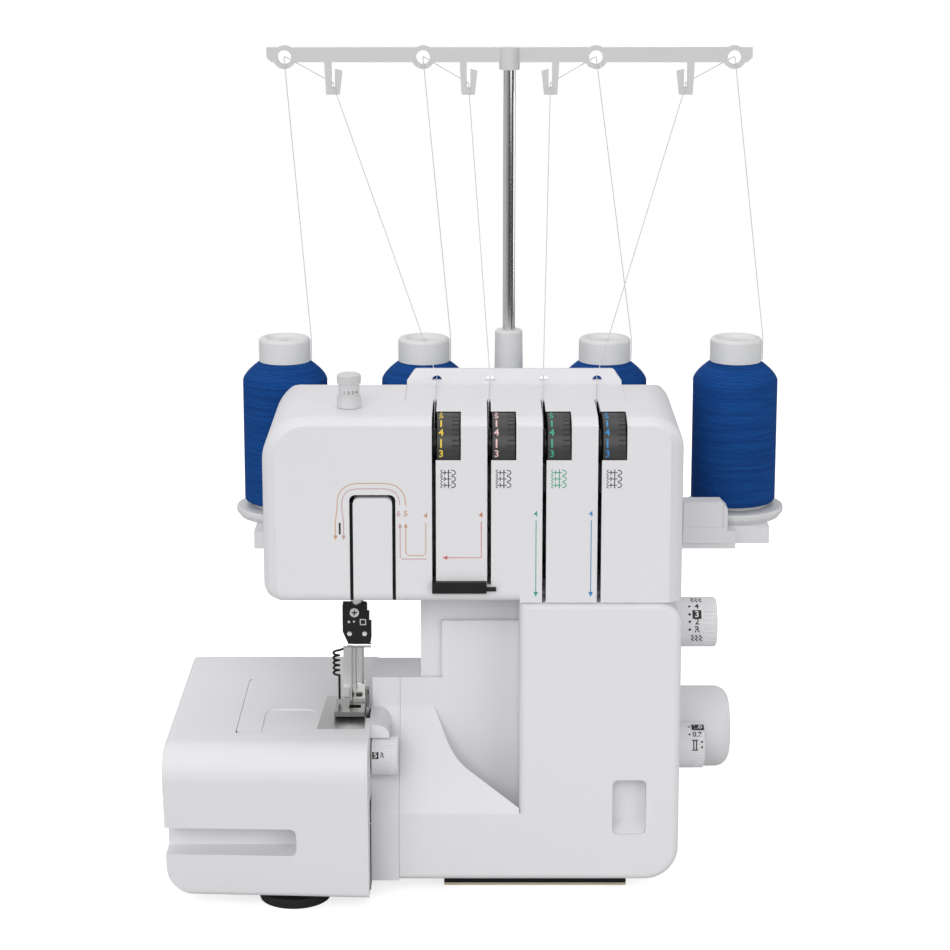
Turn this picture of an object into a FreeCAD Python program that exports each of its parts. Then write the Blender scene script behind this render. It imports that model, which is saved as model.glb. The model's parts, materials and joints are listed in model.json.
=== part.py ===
import FreeCAD, Part
import math
import os

# Home overlock sewing machine with four thread cones.
# Millimetres. X runs to the right, Y to the back, Z up from the floor.
# The front of the body is at Y 0 and its middle at X 0 until the whole is centred at the end.

# Body casing
BODY_WIDTH = 241.0
BODY_DEPTH = 124.0
BODY_TOP = 290.0
ARM_HEIGHT = 109.0
COLUMN_WIDTH = 153.0
BASE_WIDTH = 182.0
HEAD_OVERHANG = 2.5
GROUND_GAP = 9.0
SPLIT_DEPTH = 42.0
WALL = 2.5
HEAD_TOP_RADIUS = 26.0
HEAD_LOW_RADIUS = 9.0
HEAD_FRONT_RADIUS = 6.0
ARM_RIGHT_RADIUS = 19.0
TOP_FALL = 36.0
TOP_FALL_RADIUS = 70.0
BASE_RADIUS = 20.0
CROWN_DEPTH = 11.0
CROWN_INSET = 8.0
CROWN_TOP_SHARE = 0.5
CROWN_STEPS = 3
SHELF_HEIGHT = 18.0
SHELF_DEPTH = 34.0
TOP_RECESS = 1.0
HEAD_OPENING = 30.0

# Thread slots, tension dials and take-up window
SLOT_COUNT = 4
SLOT_WIDTH = 2.3
SLOT_PITCH = 31.8
FIRST_SLOT = 99.35
SLOT_REACH = 58.0
DIAL_RADIUS = 18.5
DIAL_WIDTH = 13.2
DIAL_RECESS = 0.5
DIAL_BORE = 3.0
WINDOW_HEIGHT = 24.0
WINDOW_GAP = 0.6
DISC_RADIUS = 9.0
DISC_THICKNESS = 1.0
SPRING_RADIUS = 5.0
SPRING_LENGTH = 7.0
TAKEUP_LEFT = 50.6
TAKEUP_WIDTH = 26.6
TAKEUP_HEIGHT = 64.5
TAKEUP_SLOT = 2.0
TAKEUP_RADIUS = 3.5
TAKEUP_DEPTH = 20.0
GUIDE_BOX_LENGTH = 31.5
GUIDE_BOX_HEIGHT = 6.6
GUIDE_BOX_DEPTH = 5.1
GUIDE_BOX_PROUD = 3.6
GUIDE_BOX_RISE = 6.5
GUIDE_PIN_LENGTH = 5.5
GUIDE_PIN_RADIUS = 1.3

# Top thread guide
TAB_THICKNESS = 3.0
TAB_RISE = 7.5
TAB_OVERHANG = 13.0
TAB_SLOPE = 5.0
TAB_BACK = 18.0
TAB_FOOT = 4.0
TAB_SILL = 0.5
TAB_EYE = 3.0
TAB_LEAD = 0.35
TAB_PITCH = 32.7

# Front cover with its scoop: a sloping panel and a deep pocket behind the panel's right edge
COVER_GAP = 0.5
FAIRING_GAP = 0.15
SCOOP_DEPTH = 38.5
SCOOP_RIGHT = 94.5
SCOOP_LOW = 42.0
SCOOP_HIGH = 95.0
SCOOP_EDGE = 5.0
POCKET_LENGTH = 50.5
POCKET_BEND = 38.5
POCKET_BEND_DEPTH = 19.5
POCKET_RADIUS = 30.0
POCKET_LIP = 2.0
POCKET_FLOOR = 27.0
COVER_STEP = 23.0
COVER_STRIP = 12.7
COVER_EDGE = 4.0
COVER_TOP_RADIUS = 14.0
FAIRING_WIDTH = 16.5
GUARD_WIDTH = 11.0
GUARD_FRONT = 5.0
GUARD_RADIUS = 6.5
FINGER_WIDTH = 20.0
FINGER_HEIGHT = 34.0
FINGER_DEPTH = 12.0
FINGER_RIGHT = 19.5
FINGER_RISE = 29.0
COVER_SLIDE = 12.0
HINGE_BACK = 8.0
HINGE_RISE = 5.0
HINGE_ROD_RADIUS = 1.8
EAR_WIDTH = 6.0
EAR_RADIUS = 3.6
EAR_INSET = 26.0

# Free arm, needle plate and extension table
BED_TOP = 104.5
ARM_BED_LENGTH = 78.0
ARM_BED_FRONT = -8.0
ARM_BED_DEPTH = 96.0
ARM_BED_HEIGHT = 42.0
ARM_BED_RADIUS = 5.0
PLATE_LENGTH = 28.0
PLATE_DEPTH = 59.0
PLATE_FRONT = -2.0
PLATE_THICKNESS = 1.5
PLATE_LEDGE = 1.5
PLATE_SLANT = 3.0
TABLE_LENGTH = 118.0
TABLE_FRONT = 42.0
TABLE_BACK = 11.5
TABLE_SWEEP = 1.5
TABLE_NOSE_RADIUS = 17.0
TABLE_TUCK = 14.0
TABLE_TWIST = 5.0
TABLE_RADIUS = 18.0
TABLE_EDGE = 4.0
TABLE_GAP = 0.3
GRIP_RISE = 28.0
GRIP_HEIGHT = 17.5
GRIP_LENGTH = 76.0
GRIP_DEPTH = 30.0
GRIP_RADIUS = 4.0
DIP_RIGHT = 32.5
DIP_LENGTH = 31.0
DIP_FRONT = 13.0
DIP_BACK = 33.0
DIP_SINK = 0.8
DIP_RADIUS = 8.0

# Needle, presser and knives
NEEDLE_REACH = 8.8
NEEDLE_BACK = 28.0
NEEDLE_BAR_RADIUS = 3.2
NEEDLE_BAR_LENGTH = 118.0
CLAMP_LEFT = 8.0
CLAMP_RIGHT = 8.8
CLAMP_HEIGHT = 23.0
CLAMP_DEPTH = 9.0
CLAMP_DROP = 9.0
NEEDLE_PITCH = 2.4
NEEDLE_LENGTH = 43.0
NEEDLE_RADIUS = 0.45
CLAMP_CORNER = 1.4
CLAMP_TUCK = 3.0
CLAMP_TUCK_RISE = 7.0
CLAMP_STEP = 1.2
CLAMP_LOW_STEP = 11.5
CLAMP_HIGH_STEP = 17.5
SCREW_RADIUS = 2.7
SCREW_SIDE = 0.9
SCREW_DROP = 4.0
PIN_SCREW_RADIUS = 1.4
PIN_SCREW_LEFT = 3.9
PIN_SCREW_RIGHT = 5.0
PIN_SCREW_RISE = 5.8
LUG_HALF = 11.0
PRESSER_SHIFT = 0.7
PRESSER_BACK = 41.0
PRESSER_BAR_RADIUS = 3.0
ANKLE_WIDTH = 7.0
ANKLE_HEIGHT = 9.0
SHANK_WIDTH = 5.7
SHANK_THICKNESS = 2.5
SHANK_RISE = 6.7
SHANK_HEIGHT = 25.0
FOOT_WIDTH = 18.0
FOOT_LENGTH = 32.0
FOOT_SOLE = 2.0
FOOT_GAP = 0.7
FOOT_PIN_RADIUS = 1.2
FOOT_PIN_RISE = 7.0
LEVER_RADIUS = 4.0
LEVER_LENGTH = 42.0
LEVER_WIDTH = 6.0
LEVER_RISE = 22.0
BUSH_WALL = 1.8
KNIFE_THICKNESS = 1.6
KNIFE_RISE = 9.0
KNIFE_WIDTH = 11.0
FEED_WIDTH = 3.0
FEED_LENGTH = 16.0
FEED_COUNT = 3
FEED_PITCH = 4.6
FEED_STROKE = 2.0
FEED_PROUD = 0.4
LOOPER_THICKNESS = 2.5
LOOPER_LENGTH = 24.0
LOOPER_PIN_RADIUS = 2.0

# Knobs and drive
PRESSURE_RADIUS = 7.0
PRESSURE_HEIGHT = 20.0
PRESSURE_COLLAR = 6.8
PRESSURE_CAP = 5.8
PRESSURE_WAIST = 6.1
PRESSURE_STEM = 3.2
PRESSURE_LEFT = 49.5
PRESSURE_BACK = 33.0
LENGTH_DIAL_RADIUS = 15.0
LENGTH_DIAL_REACH = 25.5
LENGTH_DIAL_BACK = 62.0
LENGTH_DIAL_RISE = 150.0
FEED_DIAL_RADIUS = 13.8
FEED_DIAL_REACH = 19.0
FEED_DIAL_BACK = 57.0
FEED_DIAL_RISE = 73.0
WIDTH_KNOB_RADIUS = 11.3
WIDTH_KNOB_REACH = 16.2
WIDTH_KNOB_BACK = 8.0
WIDTH_KNOB_RISE = 84.5
DIAL_STEM = 4.0
KNURL_COUNT = 36
KNURL_RADIUS = 0.5
WHEEL_RADIUS = 25.0
WHEEL_REACH = 38.0
WHEEL_EDGE = 9.0
SHAFT_BACK = 97.0
SHAFT_RISE = 71.0
SHAFT_RADIUS = 5.0
PULLEY_RADIUS = 21.0
PULLEY_WIDTH = 8.0
MOTOR_RISE = 200.0
MOTOR_RADIUS = 21.0
MOTOR_LENGTH = 58.0
MOTOR_FLANGE = 4.0
MOTOR_SHAFT_RADIUS = 2.5
MOTOR_PULLEY_RADIUS = 7.0
BELT_THICKNESS = 1.4
BELT_WIDTH = 6.0

# Frame casting and base
FRAME_PLATE = 6.0
FRAME_FRONT = 60.0
FRAME_DEPTH = 48.0
FRAME_TOP = 262.0
BEAM_HEIGHT = 30.0
BEAM_DEPTH = 12.0
LUG_HEIGHT = 8.0
BASE_PLATE = 2.5
FOOT_PAD_RADIUS = 23.0
FOOT_PAD_SHARE = 0.42
REST_WIDTH = 109.0
REST_FRONT = 14.0
REST_DEPTH = 10.0
REST_HEIGHT = 4.5
REST_SOLE = 1.6
SOCKET_WIDTH = 24.0
SOCKET_HEIGHT = 16.0
SWITCH_WIDTH = 14.0
SWITCH_HEIGHT = 20.0

# Spool stand, cones and thread tree
TREE_X = 21.3
SPOOL_BACK = 157.0
SPOOL_INNER = 57.0
SPOOL_OUTER = 142.5
OUTER_SHIFT = 1.0
INNER_SHIFT = 3.5
STAND_RISE = 181.8
STAND_HEIGHT = 11.0
STAND_BACK = 182.0
STAND_LEFT = 159.0
STAND_RIGHT = 163.5
WING_FRONT = 112.0
BRACKET_LEFT = 9.0
BRACKET_WIDTH = 27.5
BRACKET_RISE = 4.0
BRACKET_HEIGHT = 26.0
BRACKET_PANEL = 10.0
WING_WIDTH = 42.0
TRAY_RADIUS = 32.0
TRAY_HEIGHT = 6.5
TRAY_LIP = 2.5
PIN_RADIUS = 3.0
PIN_LENGTH = 70.0
CONE_RADIUS = 26.7
CONE_HEIGHT = 108.0
CAP_RADIUS = 16.2
CAP_HEIGHT = 15.0
SHOULDER_HEIGHT = 8.5
CORE_RADIUS = 12.0
TREE_BACK = 160.0
SOCKET_RISE = 312.0
SOCKET_RADIUS = 8.6
SOCKET_TAPER = 1.6
POLE_RADIUS = 3.8
POLE_GRIP = 17.0
TREE_TOP = 489.0
BAR_HEIGHT = 9.0
BAR_THICKNESS = 4.0
BAR_HALF = 150.0
EYE_INNER = 53.4
EYE_OUTER = 139.0
EYE_RADIUS = 4.3
EYE_WALL = 2.9
HOOK_INNER = 25.3
HOOK_OUTER = 109.0
HOOK_WIDTH = 11.0
HOOK_LENGTH = 20.0
HOOK_SLOT = 2.2
THREAD_RADIUS = 0.3
THREAD_BEND = 1.2

# Clearances
FIT = 0.05
RUNNING = 0.1
SEAT = 0.3
TINY = 1e-6

# Places worked out from the sizes above
BODY_RIGHT = BODY_WIDTH / 2
HEAD_LEFT = -BODY_WIDTH / 2 - HEAD_OVERHANG
ARM_BOTTOM = BODY_TOP - ARM_HEIGHT
COLUMN_LEFT = BODY_RIGHT - COLUMN_WIDTH
BASE_LEFT = BODY_RIGHT - BASE_WIDTH
FAIRING_RIGHT = BASE_LEFT + FAIRING_WIDTH
SLOT_XS = [HEAD_LEFT + FIRST_SLOT + SLOT_PITCH * i for i in range(SLOT_COUNT)]
TAB_XS = [SLOT_XS[0] + TAB_LEAD + TAB_PITCH * i for i in range(SLOT_COUNT)]
DIAL_Y = DIAL_RADIUS + DIAL_RECESS
DIAL_Z = BODY_TOP - DIAL_RADIUS - DIAL_RECESS
NEEDLE_X = BASE_LEFT - NEEDLE_REACH
TAB_Y = BODY_DEPTH - TAB_BACK
STAND_TOP = STAND_RISE + STAND_HEIGHT
CONE_BASE = STAND_TOP + TRAY_HEIGHT + SEAT
OUTER_X = TREE_X + OUTER_SHIFT
INNER_X = TREE_X + INNER_SHIFT
CONE_XS = [OUTER_X - SPOOL_OUTER, INNER_X - SPOOL_INNER, INNER_X + SPOOL_INNER, OUTER_X + SPOOL_OUTER]
EYE_XS = [TREE_X + s for s in (-EYE_OUTER, -EYE_INNER, EYE_INNER, EYE_OUTER)]
HOOK_XS = [TREE_X + s for s in (-HOOK_OUTER, -HOOK_INNER, HOOK_INNER, HOOK_OUTER)]
BAR_BOTTOM = TREE_TOP - BAR_HEIGHT
EYE_Z = TREE_TOP - BAR_HEIGHT / 2 - EYE_WALL / 2
HINGE_Z = GROUND_GAP + HINGE_RISE
FRAME_FLOOR = GROUND_GAP + WALL
PLATE_A = COLUMN_LEFT + WALL + 2 * RUNNING
PLATE_B = BODY_RIGHT - 4 * FRAME_PLATE - PULLEY_WIDTH
PULLEY_X = PLATE_B + FRAME_PLATE + PULLEY_WIDTH / 4
PLATE_TOP = BED_TOP
FOOT_BASE = PLATE_TOP + FOOT_GAP
PRESSER_X = NEEDLE_X + PRESSER_SHIFT
ARM_BED_BOTTOM = BED_TOP - ARM_BED_HEIGHT
ARM_BED_LEFT = BASE_LEFT - ARM_BED_LENGTH
ARM_BED_BACK = ARM_BED_FRONT + ARM_BED_DEPTH
LUG_LOW = ARM_BOTTOM + 2 * WALL
LUG_HIGH = FRAME_TOP - LUG_HEIGHT
KNIFE_PIVOT_Y = ARM_BED_BACK - 5 * LOOPER_PIN_RADIUS
KNIFE_PIVOT_Z = ARM_BED_BOTTOM + ARM_BED_HEIGHT / 2
LOOPER_XS = [ARM_BED_LEFT + ARM_BED_LENGTH / 4, ARM_BED_LEFT + ARM_BED_LENGTH / 2]
LOOPER_Y = NEEDLE_BACK
LOOPER_Z = ARM_BED_BOTTOM + WALL + 3 * LOOPER_PIN_RADIUS
WEB_Y = LOOPER_Y + LOOPER_LENGTH

AXES = {"X": FreeCAD.Vector(1, 0, 0), "Y": FreeCAD.Vector(0, 1, 0), "Z": FreeCAD.Vector(0, 0, 1)}


# Shapes used throughout
def vec(x, y, z):
    return FreeCAD.Vector(x, y, z)


def box(x, y, z):
    """A block between the low and high value on each axis."""
    return Part.makeBox(x[1] - x[0], y[1] - y[0], z[1] - z[0], vec(x[0], y[0], z[0]))


def rod(axis, start, length, radius):
    return Part.makeCylinder(radius, length, vec(*start), AXES[axis])


def ring(axis, start, length, radius, bore):
    return rod(axis, start, length, radius).cut(rod(axis, start, length, bore))


def fuse(shapes):
    return shapes[0].multiFuse(shapes[1:]).removeSplitter()


def group(shapes):
    return Part.makeCompound(shapes)


def corner_points(before, corner, after):
    """A corner of an outline, or the start, middle and end of its arc."""
    at = vec(corner[0], corner[1], 0)
    if len(corner) < 3 or corner[2] <= 0:
        return [at]
    back = (vec(before[0], before[1], 0) - at).normalize()
    ahead = (vec(after[0], after[1], 0) - at).normalize()
    half = back.getAngle(ahead) / 2
    run = corner[2] / math.tan(half)
    inward = (back + ahead).normalize()
    middle = at + inward * (corner[2] / math.sin(half) - corner[2])
    return [at + back * run, middle, at + ahead * run]


def on_plane(plane, point, level):
    """Puts a flat point on the plane named by its two axes, at a level along the third."""
    if plane == "XZ":
        return vec(point.x, level, point.y)
    if plane == "YZ":
        return vec(level, point.x, point.y)
    return vec(point.x, point.y, level)


def outline(plane, points, level):
    """A closed wire through points (a, b) or (a, b, corner radius)."""
    turns = []
    for i, corner in enumerate(points):
        flat = corner_points(points[i - 1], corner, points[(i + 1) % len(points)])
        turns.append([on_plane(plane, p, level) for p in flat])
    edges = []
    for turn, following in zip(turns, turns[1:] + turns[:1]):
        if len(turn) == 3:
            edges.append(Part.Arc(*turn).toShape())
        if turn[-1].distanceToPoint(following[0]) > TINY:
            edges.append(Part.LineSegment(turn[-1], following[0]).toShape())
    return Part.Wire(edges)


def prism(plane, points, span):
    normal = {"XZ": AXES["Y"], "YZ": AXES["X"], "XY": AXES["Z"]}[plane]
    face = Part.Face(outline(plane, points, span[0]))
    return face.extrude(normal * (span[1] - span[0]))


def turned(axis, centre, points):
    """A body of revolution from points (along, radius) or (along, radius, corner radius)."""
    plane = "XZ"
    wire = outline(plane, [(p[1], p[0]) + tuple(p[2:]) for p in points], 0)
    body = Part.Face(wire).revolve(vec(0, 0, 0), AXES["Z"], 360)
    if axis == "X":
        body.rotate(vec(0, 0, 0), AXES["Y"], 90)
        body.translate(vec(0, centre[0], centre[1]))
    else:
        body.translate(vec(centre[0], centre[1], 0))
    return body


def loft(wires):
    return Part.makeLoft(wires, True, True)


def crown(depth):
    """Steps (depth, inset) that round a front edge over into the sides."""
    steps = []
    for i in range(CROWN_STEPS + 1):
        share = i / CROWN_STEPS
        steps.append((depth * share, CROWN_INSET * (1 - share) ** 2))
    return steps


def knurled(body, axis, centre, start, length, radius):
    """Cuts fine grooves round a knob's rim."""
    cuts = []
    for i in range(KNURL_COUNT):
        angle = 2 * math.pi * i / KNURL_COUNT
        a = centre[0] + radius * math.cos(angle)
        b = centre[1] + radius * math.sin(angle)
        place = (start, a, b) if axis == "X" else (a, b, start)
        cuts.append(rod(axis, place, length, KNURL_RADIUS))
    return body.cut(cuts)


# Arm and body casing
def arm_outline(inset, wall):
    left = HEAD_LEFT + inset + wall
    right = BODY_RIGHT - inset - wall
    top = BODY_TOP - inset * CROWN_TOP_SHARE - wall
    low = ARM_BOTTOM + wall
    return [
        (left, low, HEAD_LOW_RADIUS - wall),
        (right, low),
        (right, top, ARM_RIGHT_RADIUS - inset - wall),
        (left, top, HEAD_TOP_RADIUS - inset - wall),
    ]


def head_round(wall):
    """What the rounded lower front edge of the head leaves out."""
    start = HEAD_LEFT - WALL
    end = scoop_x() + wall
    radius = HEAD_FRONT_RADIUS
    corner = box((start, end), (-WALL, radius), (ARM_BOTTOM - WALL, ARM_BOTTOM + radius))
    return corner.cut(rod("X", (start, radius, ARM_BOTTOM + radius), end - start, radius - wall))


def top_fall(wall):
    """What the falling back of the arm's top leaves out."""
    start = HEAD_LEFT - WALL
    end = BODY_RIGHT + WALL
    front = BODY_DEPTH - TOP_FALL
    above = box((start, end), (front, BODY_DEPTH + WALL), (BODY_TOP - TOP_FALL, BODY_TOP + WALL))
    axis = (start, front, BODY_TOP - TOP_FALL_RADIUS)
    return above.cut(rod("X", axis, end - start, TOP_FALL_RADIUS - wall))


def slot_cut(x, bottom):
    sides = (x - SLOT_WIDTH / 2, x + SLOT_WIDTH / 2)
    front = box(sides, (-WALL, CROWN_DEPTH + 2 * WALL), (bottom, BODY_TOP + WALL))
    return front.fuse(box(sides, (-WALL, SLOT_REACH), (BODY_TOP - 2 * WALL, BODY_TOP + WALL)))


def slot_cuts():
    box_top = ARM_BOTTOM + GUIDE_BOX_RISE + GUIDE_BOX_HEIGHT
    bottoms = [box_top - WALL, box_top - WALL] + [ARM_BOTTOM - WALL] * (SLOT_COUNT - 2)
    return [slot_cut(x, bottom) for x, bottom in zip(SLOT_XS, bottoms)]


def dial_start(x):
    return x + SLOT_WIDTH / 2 + WINDOW_GAP


def window_cut(x):
    """Opening for one dial, with room behind the wall for its rim."""
    span = (x, dial_start(x) + DIAL_WIDTH + WINDOW_GAP)
    window = box(span, (-WALL, DIAL_Y), (BODY_TOP - WINDOW_HEIGHT, BODY_TOP + WALL))
    room = rod("X", (span[0], DIAL_Y, DIAL_Z), span[1] - span[0], DIAL_RADIUS + WINDOW_GAP)
    return window.fuse(room)


def takeup_points(inset):
    left = HEAD_LEFT + TAKEUP_LEFT + inset
    right = HEAD_LEFT + TAKEUP_LEFT + TAKEUP_WIDTH - inset
    top = ARM_BOTTOM + TAKEUP_HEIGHT - inset
    return left, right, top


def takeup_panel(inset, low, span):
    left, right, top = takeup_points(inset)
    radius = TAKEUP_RADIUS
    return prism("XZ", [(left, low), (right, low), (right, top, radius), (left, top, radius)], span)


def guide_box_block(gap):
    left = SLOT_XS[0] - SLOT_WIDTH / 2
    low = ARM_BOTTOM + GUIDE_BOX_RISE
    return box(
        (left - gap, left + GUIDE_BOX_LENGTH + gap),
        (-GUIDE_BOX_PROUD - gap, GUIDE_BOX_DEPTH - GUIDE_BOX_PROUD + gap),
        (low - gap, low + GUIDE_BOX_HEIGHT + gap),
    )


def top_recess():
    left = SLOT_XS[0] - TAB_OVERHANG - TAB_SLOPE
    right = SLOT_XS[-1] + TAB_OVERHANG + TAB_SLOPE
    return box((left, right), (SLOT_REACH - 4 * WALL, TAB_Y), (BODY_TOP - TOP_RECESS, BODY_TOP + WALL))


def head_opening():
    """Opening under the head for the needle and presser bars."""
    middle = NEEDLE_X
    return box(
        (middle - HEAD_OPENING / 2, middle + HEAD_OPENING / 2),
        (NEEDLE_BACK - HEAD_OPENING / 2, SPLIT_DEPTH + HEAD_OPENING / 2),
        (ARM_BOTTOM - WALL, ARM_BOTTOM + 2 * WALL),
    )


def pressure_place():
    return HEAD_LEFT + PRESSURE_LEFT, PRESSURE_BACK


def front_casing():
    steps = crown(CROWN_DEPTH)
    outer = loft([outline("XZ", arm_outline(i, 0), d) for d, i in steps + [(SPLIT_DEPTH, 0)]])
    outer = outer.cut(head_round(0))
    deep = [(d + WALL, i) for d, i in steps] + [(SPLIT_DEPTH + WALL, 0)]
    inner = loft([outline("XZ", arm_outline(i, WALL), d) for d, i in deep])
    inner = inner.cut(head_round(WALL))
    cuts = slot_cuts() + [window_cut(x) for x in SLOT_XS]
    cuts.append(takeup_panel(0, ARM_BOTTOM - WALL, (-WALL, TAKEUP_DEPTH + SEAT)))
    cuts.append(guide_box_block(FIT))
    cuts.append(head_opening())
    x, y = pressure_place()
    cuts.append(rod("Z", (x, y, BODY_TOP - 2 * WALL), 4 * WALL, PRESSURE_STEM + RUNNING))
    return outer.cut(inner).cut(cuts)


def rear_outline(inset, wall):
    left = HEAD_LEFT + inset + wall
    right = BODY_RIGHT - inset - wall
    top = BODY_TOP - inset * CROWN_TOP_SHARE - wall
    grow = inset + wall
    return [
        (left, ARM_BOTTOM + wall, HEAD_LOW_RADIUS - wall),
        (COLUMN_LEFT + grow, ARM_BOTTOM + wall),
        (COLUMN_LEFT + grow, BED_TOP - wall),
        (BASE_LEFT + grow, BED_TOP - wall),
        (BASE_LEFT + grow, GROUND_GAP + wall),
        (right, GROUND_GAP + wall, BASE_RADIUS - grow),
        (right, top, ARM_RIGHT_RADIUS - grow),
        (left, top, HEAD_TOP_RADIUS - grow),
    ]


def side_holes():
    """Openings in the right wall for shaft, dials, socket and switch."""
    start = BODY_RIGHT - 3 * WALL
    length = 6 * WALL
    holes = [
        rod("X", (start, SHAFT_BACK, SHAFT_RISE), length, SHAFT_RADIUS + WALL),
        rod("X", (start, LENGTH_DIAL_BACK, LENGTH_DIAL_RISE), length, DIAL_STEM + RUNNING),
        rod("X", (start, FEED_DIAL_BACK, FEED_DIAL_RISE), length, DIAL_STEM + RUNNING),
        socket_block(FIT),
        switch_hole(),
    ]
    return holes


def socket_place():
    return SHAFT_BACK, GROUND_GAP + BASE_RADIUS + SOCKET_HEIGHT / 2 + WALL


def switch_place():
    return FEED_DIAL_BACK + FEED_DIAL_RADIUS / 2, GROUND_GAP + BASE_RADIUS + SWITCH_HEIGHT / 2 + WALL


def socket_block(gap):
    y, z = socket_place()
    half = SOCKET_WIDTH / 2 + gap
    return box(
        (BODY_RIGHT - 4 * WALL - gap, BODY_RIGHT + gap),
        (y - half, y + half),
        (z - SOCKET_HEIGHT / 2 - gap, z + SOCKET_HEIGHT / 2 + gap),
    )


def switch_hole():
    y, z = switch_place()
    return box(
        (BODY_RIGHT - 2 * WALL, BODY_RIGHT + WALL),
        (y - SWITCH_WIDTH / 2 - SEAT, y + SWITCH_WIDTH / 2 + SEAT),
        (z - SWITCH_HEIGHT / 2 - 2 * SEAT, z + SWITCH_HEIGHT / 2 + 2 * SEAT),
    )


def bed_passage():
    """Way through the base wall from the mechanism into the free arm."""
    return box(
        (BASE_LEFT - WALL, BASE_LEFT + 2 * WALL),
        (SPLIT_DEPTH - WALL, ARM_BED_BACK - 2 * WALL),
        (ARM_BED_BOTTOM + 2 * WALL, BED_TOP - 3 * WALL),
    )


def rear_casing():
    back = [(BODY_DEPTH - d, i) for d, i in crown(CROWN_DEPTH)]
    steps = [(SPLIT_DEPTH, 0)] + back[::-1]
    outer = loft([outline("XZ", rear_outline(i, 0), d) for d, i in steps])
    deep = [(SPLIT_DEPTH - WALL, 0)] + [(d - WALL, i) for d, i in back[::-1]]
    inner = loft([outline("XZ", rear_outline(i, WALL), d) for d, i in deep])
    shell = outer.cut(top_fall(0)).cut(inner.cut(top_fall(WALL)))
    shelf = box(
        (BASE_LEFT, COLUMN_LEFT + WALL),
        (SPLIT_DEPTH, SPLIT_DEPTH + SHELF_DEPTH),
        (BED_TOP - WALL, BED_TOP + SHELF_HEIGHT),
    )
    column_front = box(
        (COLUMN_LEFT, scoop_x() + 2 * WALL),
        (SPLIT_DEPTH, SPLIT_DEPTH + WALL),
        (BED_TOP + SHELF_HEIGHT - WALL, ARM_BOTTOM + WALL),
    )
    shell = fuse([shell, shelf, column_front])
    openings = [top_recess(), tab_seat(), head_opening(), bed_passage(), lever_slot()]
    return shell.cut(slot_cuts() + openings + side_holes())


def takeup_cover():
    return takeup_panel(TAKEUP_SLOT, ARM_BOTTOM, (0, TAKEUP_DEPTH)).cut(head_round(0))


def tab_ends():
    return SLOT_XS[0] - TAB_OVERHANG, SLOT_XS[-1] + TAB_OVERHANG


def tab_seat():
    """Groove in the top for the foot of the thread guide."""
    left, right = tab_ends()
    return box(
        (left - TAB_SLOPE - FIT, right + TAB_SLOPE + FIT),
        (TAB_Y - FIT, TAB_Y + TAB_THICKNESS + FIT),
        (BODY_TOP - TAB_FOOT - FIT, BODY_TOP + WALL),
    )


def top_thread_guide():
    high = BODY_TOP + TAB_RISE
    left, right = tab_ends()
    corner = TAB_SLOPE / 2
    points = [
        (left - TAB_SLOPE, BODY_TOP - TAB_FOOT),
        (right + TAB_SLOPE, BODY_TOP - TAB_FOOT),
        (right + TAB_SLOPE, BODY_TOP),
        (right, high, corner),
        (left, high, corner),
        (left - TAB_SLOPE, BODY_TOP),
    ]
    plate = prism("XZ", points, (TAB_Y, TAB_Y + TAB_THICKNESS))
    sill = BODY_TOP + TAB_SILL
    eyes = []
    for x in TAB_XS:
        eye = rod("Y", (x, TAB_Y - WALL, sill), TAB_THICKNESS + 2 * WALL, TAB_EYE)
        below = (TAB_Y - WALL, TAB_Y + TAB_THICKNESS + WALL)
        eyes.append(eye.cut(box((x - TAB_EYE, x + TAB_EYE), below, (sill - TAB_EYE, sill))))
    return plate.cut(eyes)


def guide_pin_rod(gap):
    """Bright pin that sticks out of the guide box on the right."""
    start = SLOT_XS[0] - SLOT_WIDTH / 2 + GUIDE_BOX_LENGTH / 2
    z = ARM_BOTTOM + GUIDE_BOX_RISE + GUIDE_BOX_HEIGHT / 3
    place = (start, -GUIDE_BOX_PROUD / 2, z)
    return rod("X", place, GUIDE_BOX_LENGTH / 2 + GUIDE_PIN_LENGTH, GUIDE_PIN_RADIUS + gap)


def thread_guide_box():
    """Black guide across the lower ends of the first two slots, with its pin."""
    return group([guide_box_block(0).cut(guide_pin_rod(FIT)), guide_pin_rod(0)])


# Front cover, its hinge and the fairing beside it
def scoop_x():
    return BODY_RIGHT - SCOOP_RIGHT


def slope_rise():
    return (SCOOP_HIGH - SCOOP_LOW) / SCOOP_DEPTH


def slope_points(grow):
    """Side view of everything above the sloping lower panel."""
    rise = slope_rise()
    drop = grow * math.sqrt(1 + rise * rise)
    low = GROUND_GAP + SCOOP_LOW - drop
    reach = SCOOP_DEPTH + grow
    return [
        (-SCOOP_DEPTH, low - rise * SCOOP_DEPTH),
        (reach, low + rise * reach),
        (reach, BODY_TOP),
        (-SCOOP_DEPTH, BODY_TOP),
    ]


def scoop_pocket(grow):
    """Deep place behind the right edge of the sloping panel."""
    right = scoop_x() + grow
    back = SCOOP_DEPTH + grow
    points = [
        (right, POCKET_LIP - grow),
        (right, back),
        (scoop_x() - POCKET_LENGTH - grow, back),
        (scoop_x() - POCKET_BEND - grow, POCKET_BEND_DEPTH - grow, POCKET_RADIUS),
    ]
    return prism("XY", points, (GROUND_GAP + POCKET_FLOOR - grow, BODY_TOP))


def scoop(grow):
    """Space on the left of the cover, above its sloping panel and in the pocket."""
    start = BASE_LEFT - SCOOP_DEPTH
    reach = SCOOP_DEPTH + grow
    hollow = box((start, scoop_x() + grow), (-reach, reach), (0, BODY_TOP))
    above = prism("YZ", slope_points(grow), (start, scoop_x() + reach))
    return hollow.common(above).fuse(scoop_pocket(grow))


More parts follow.
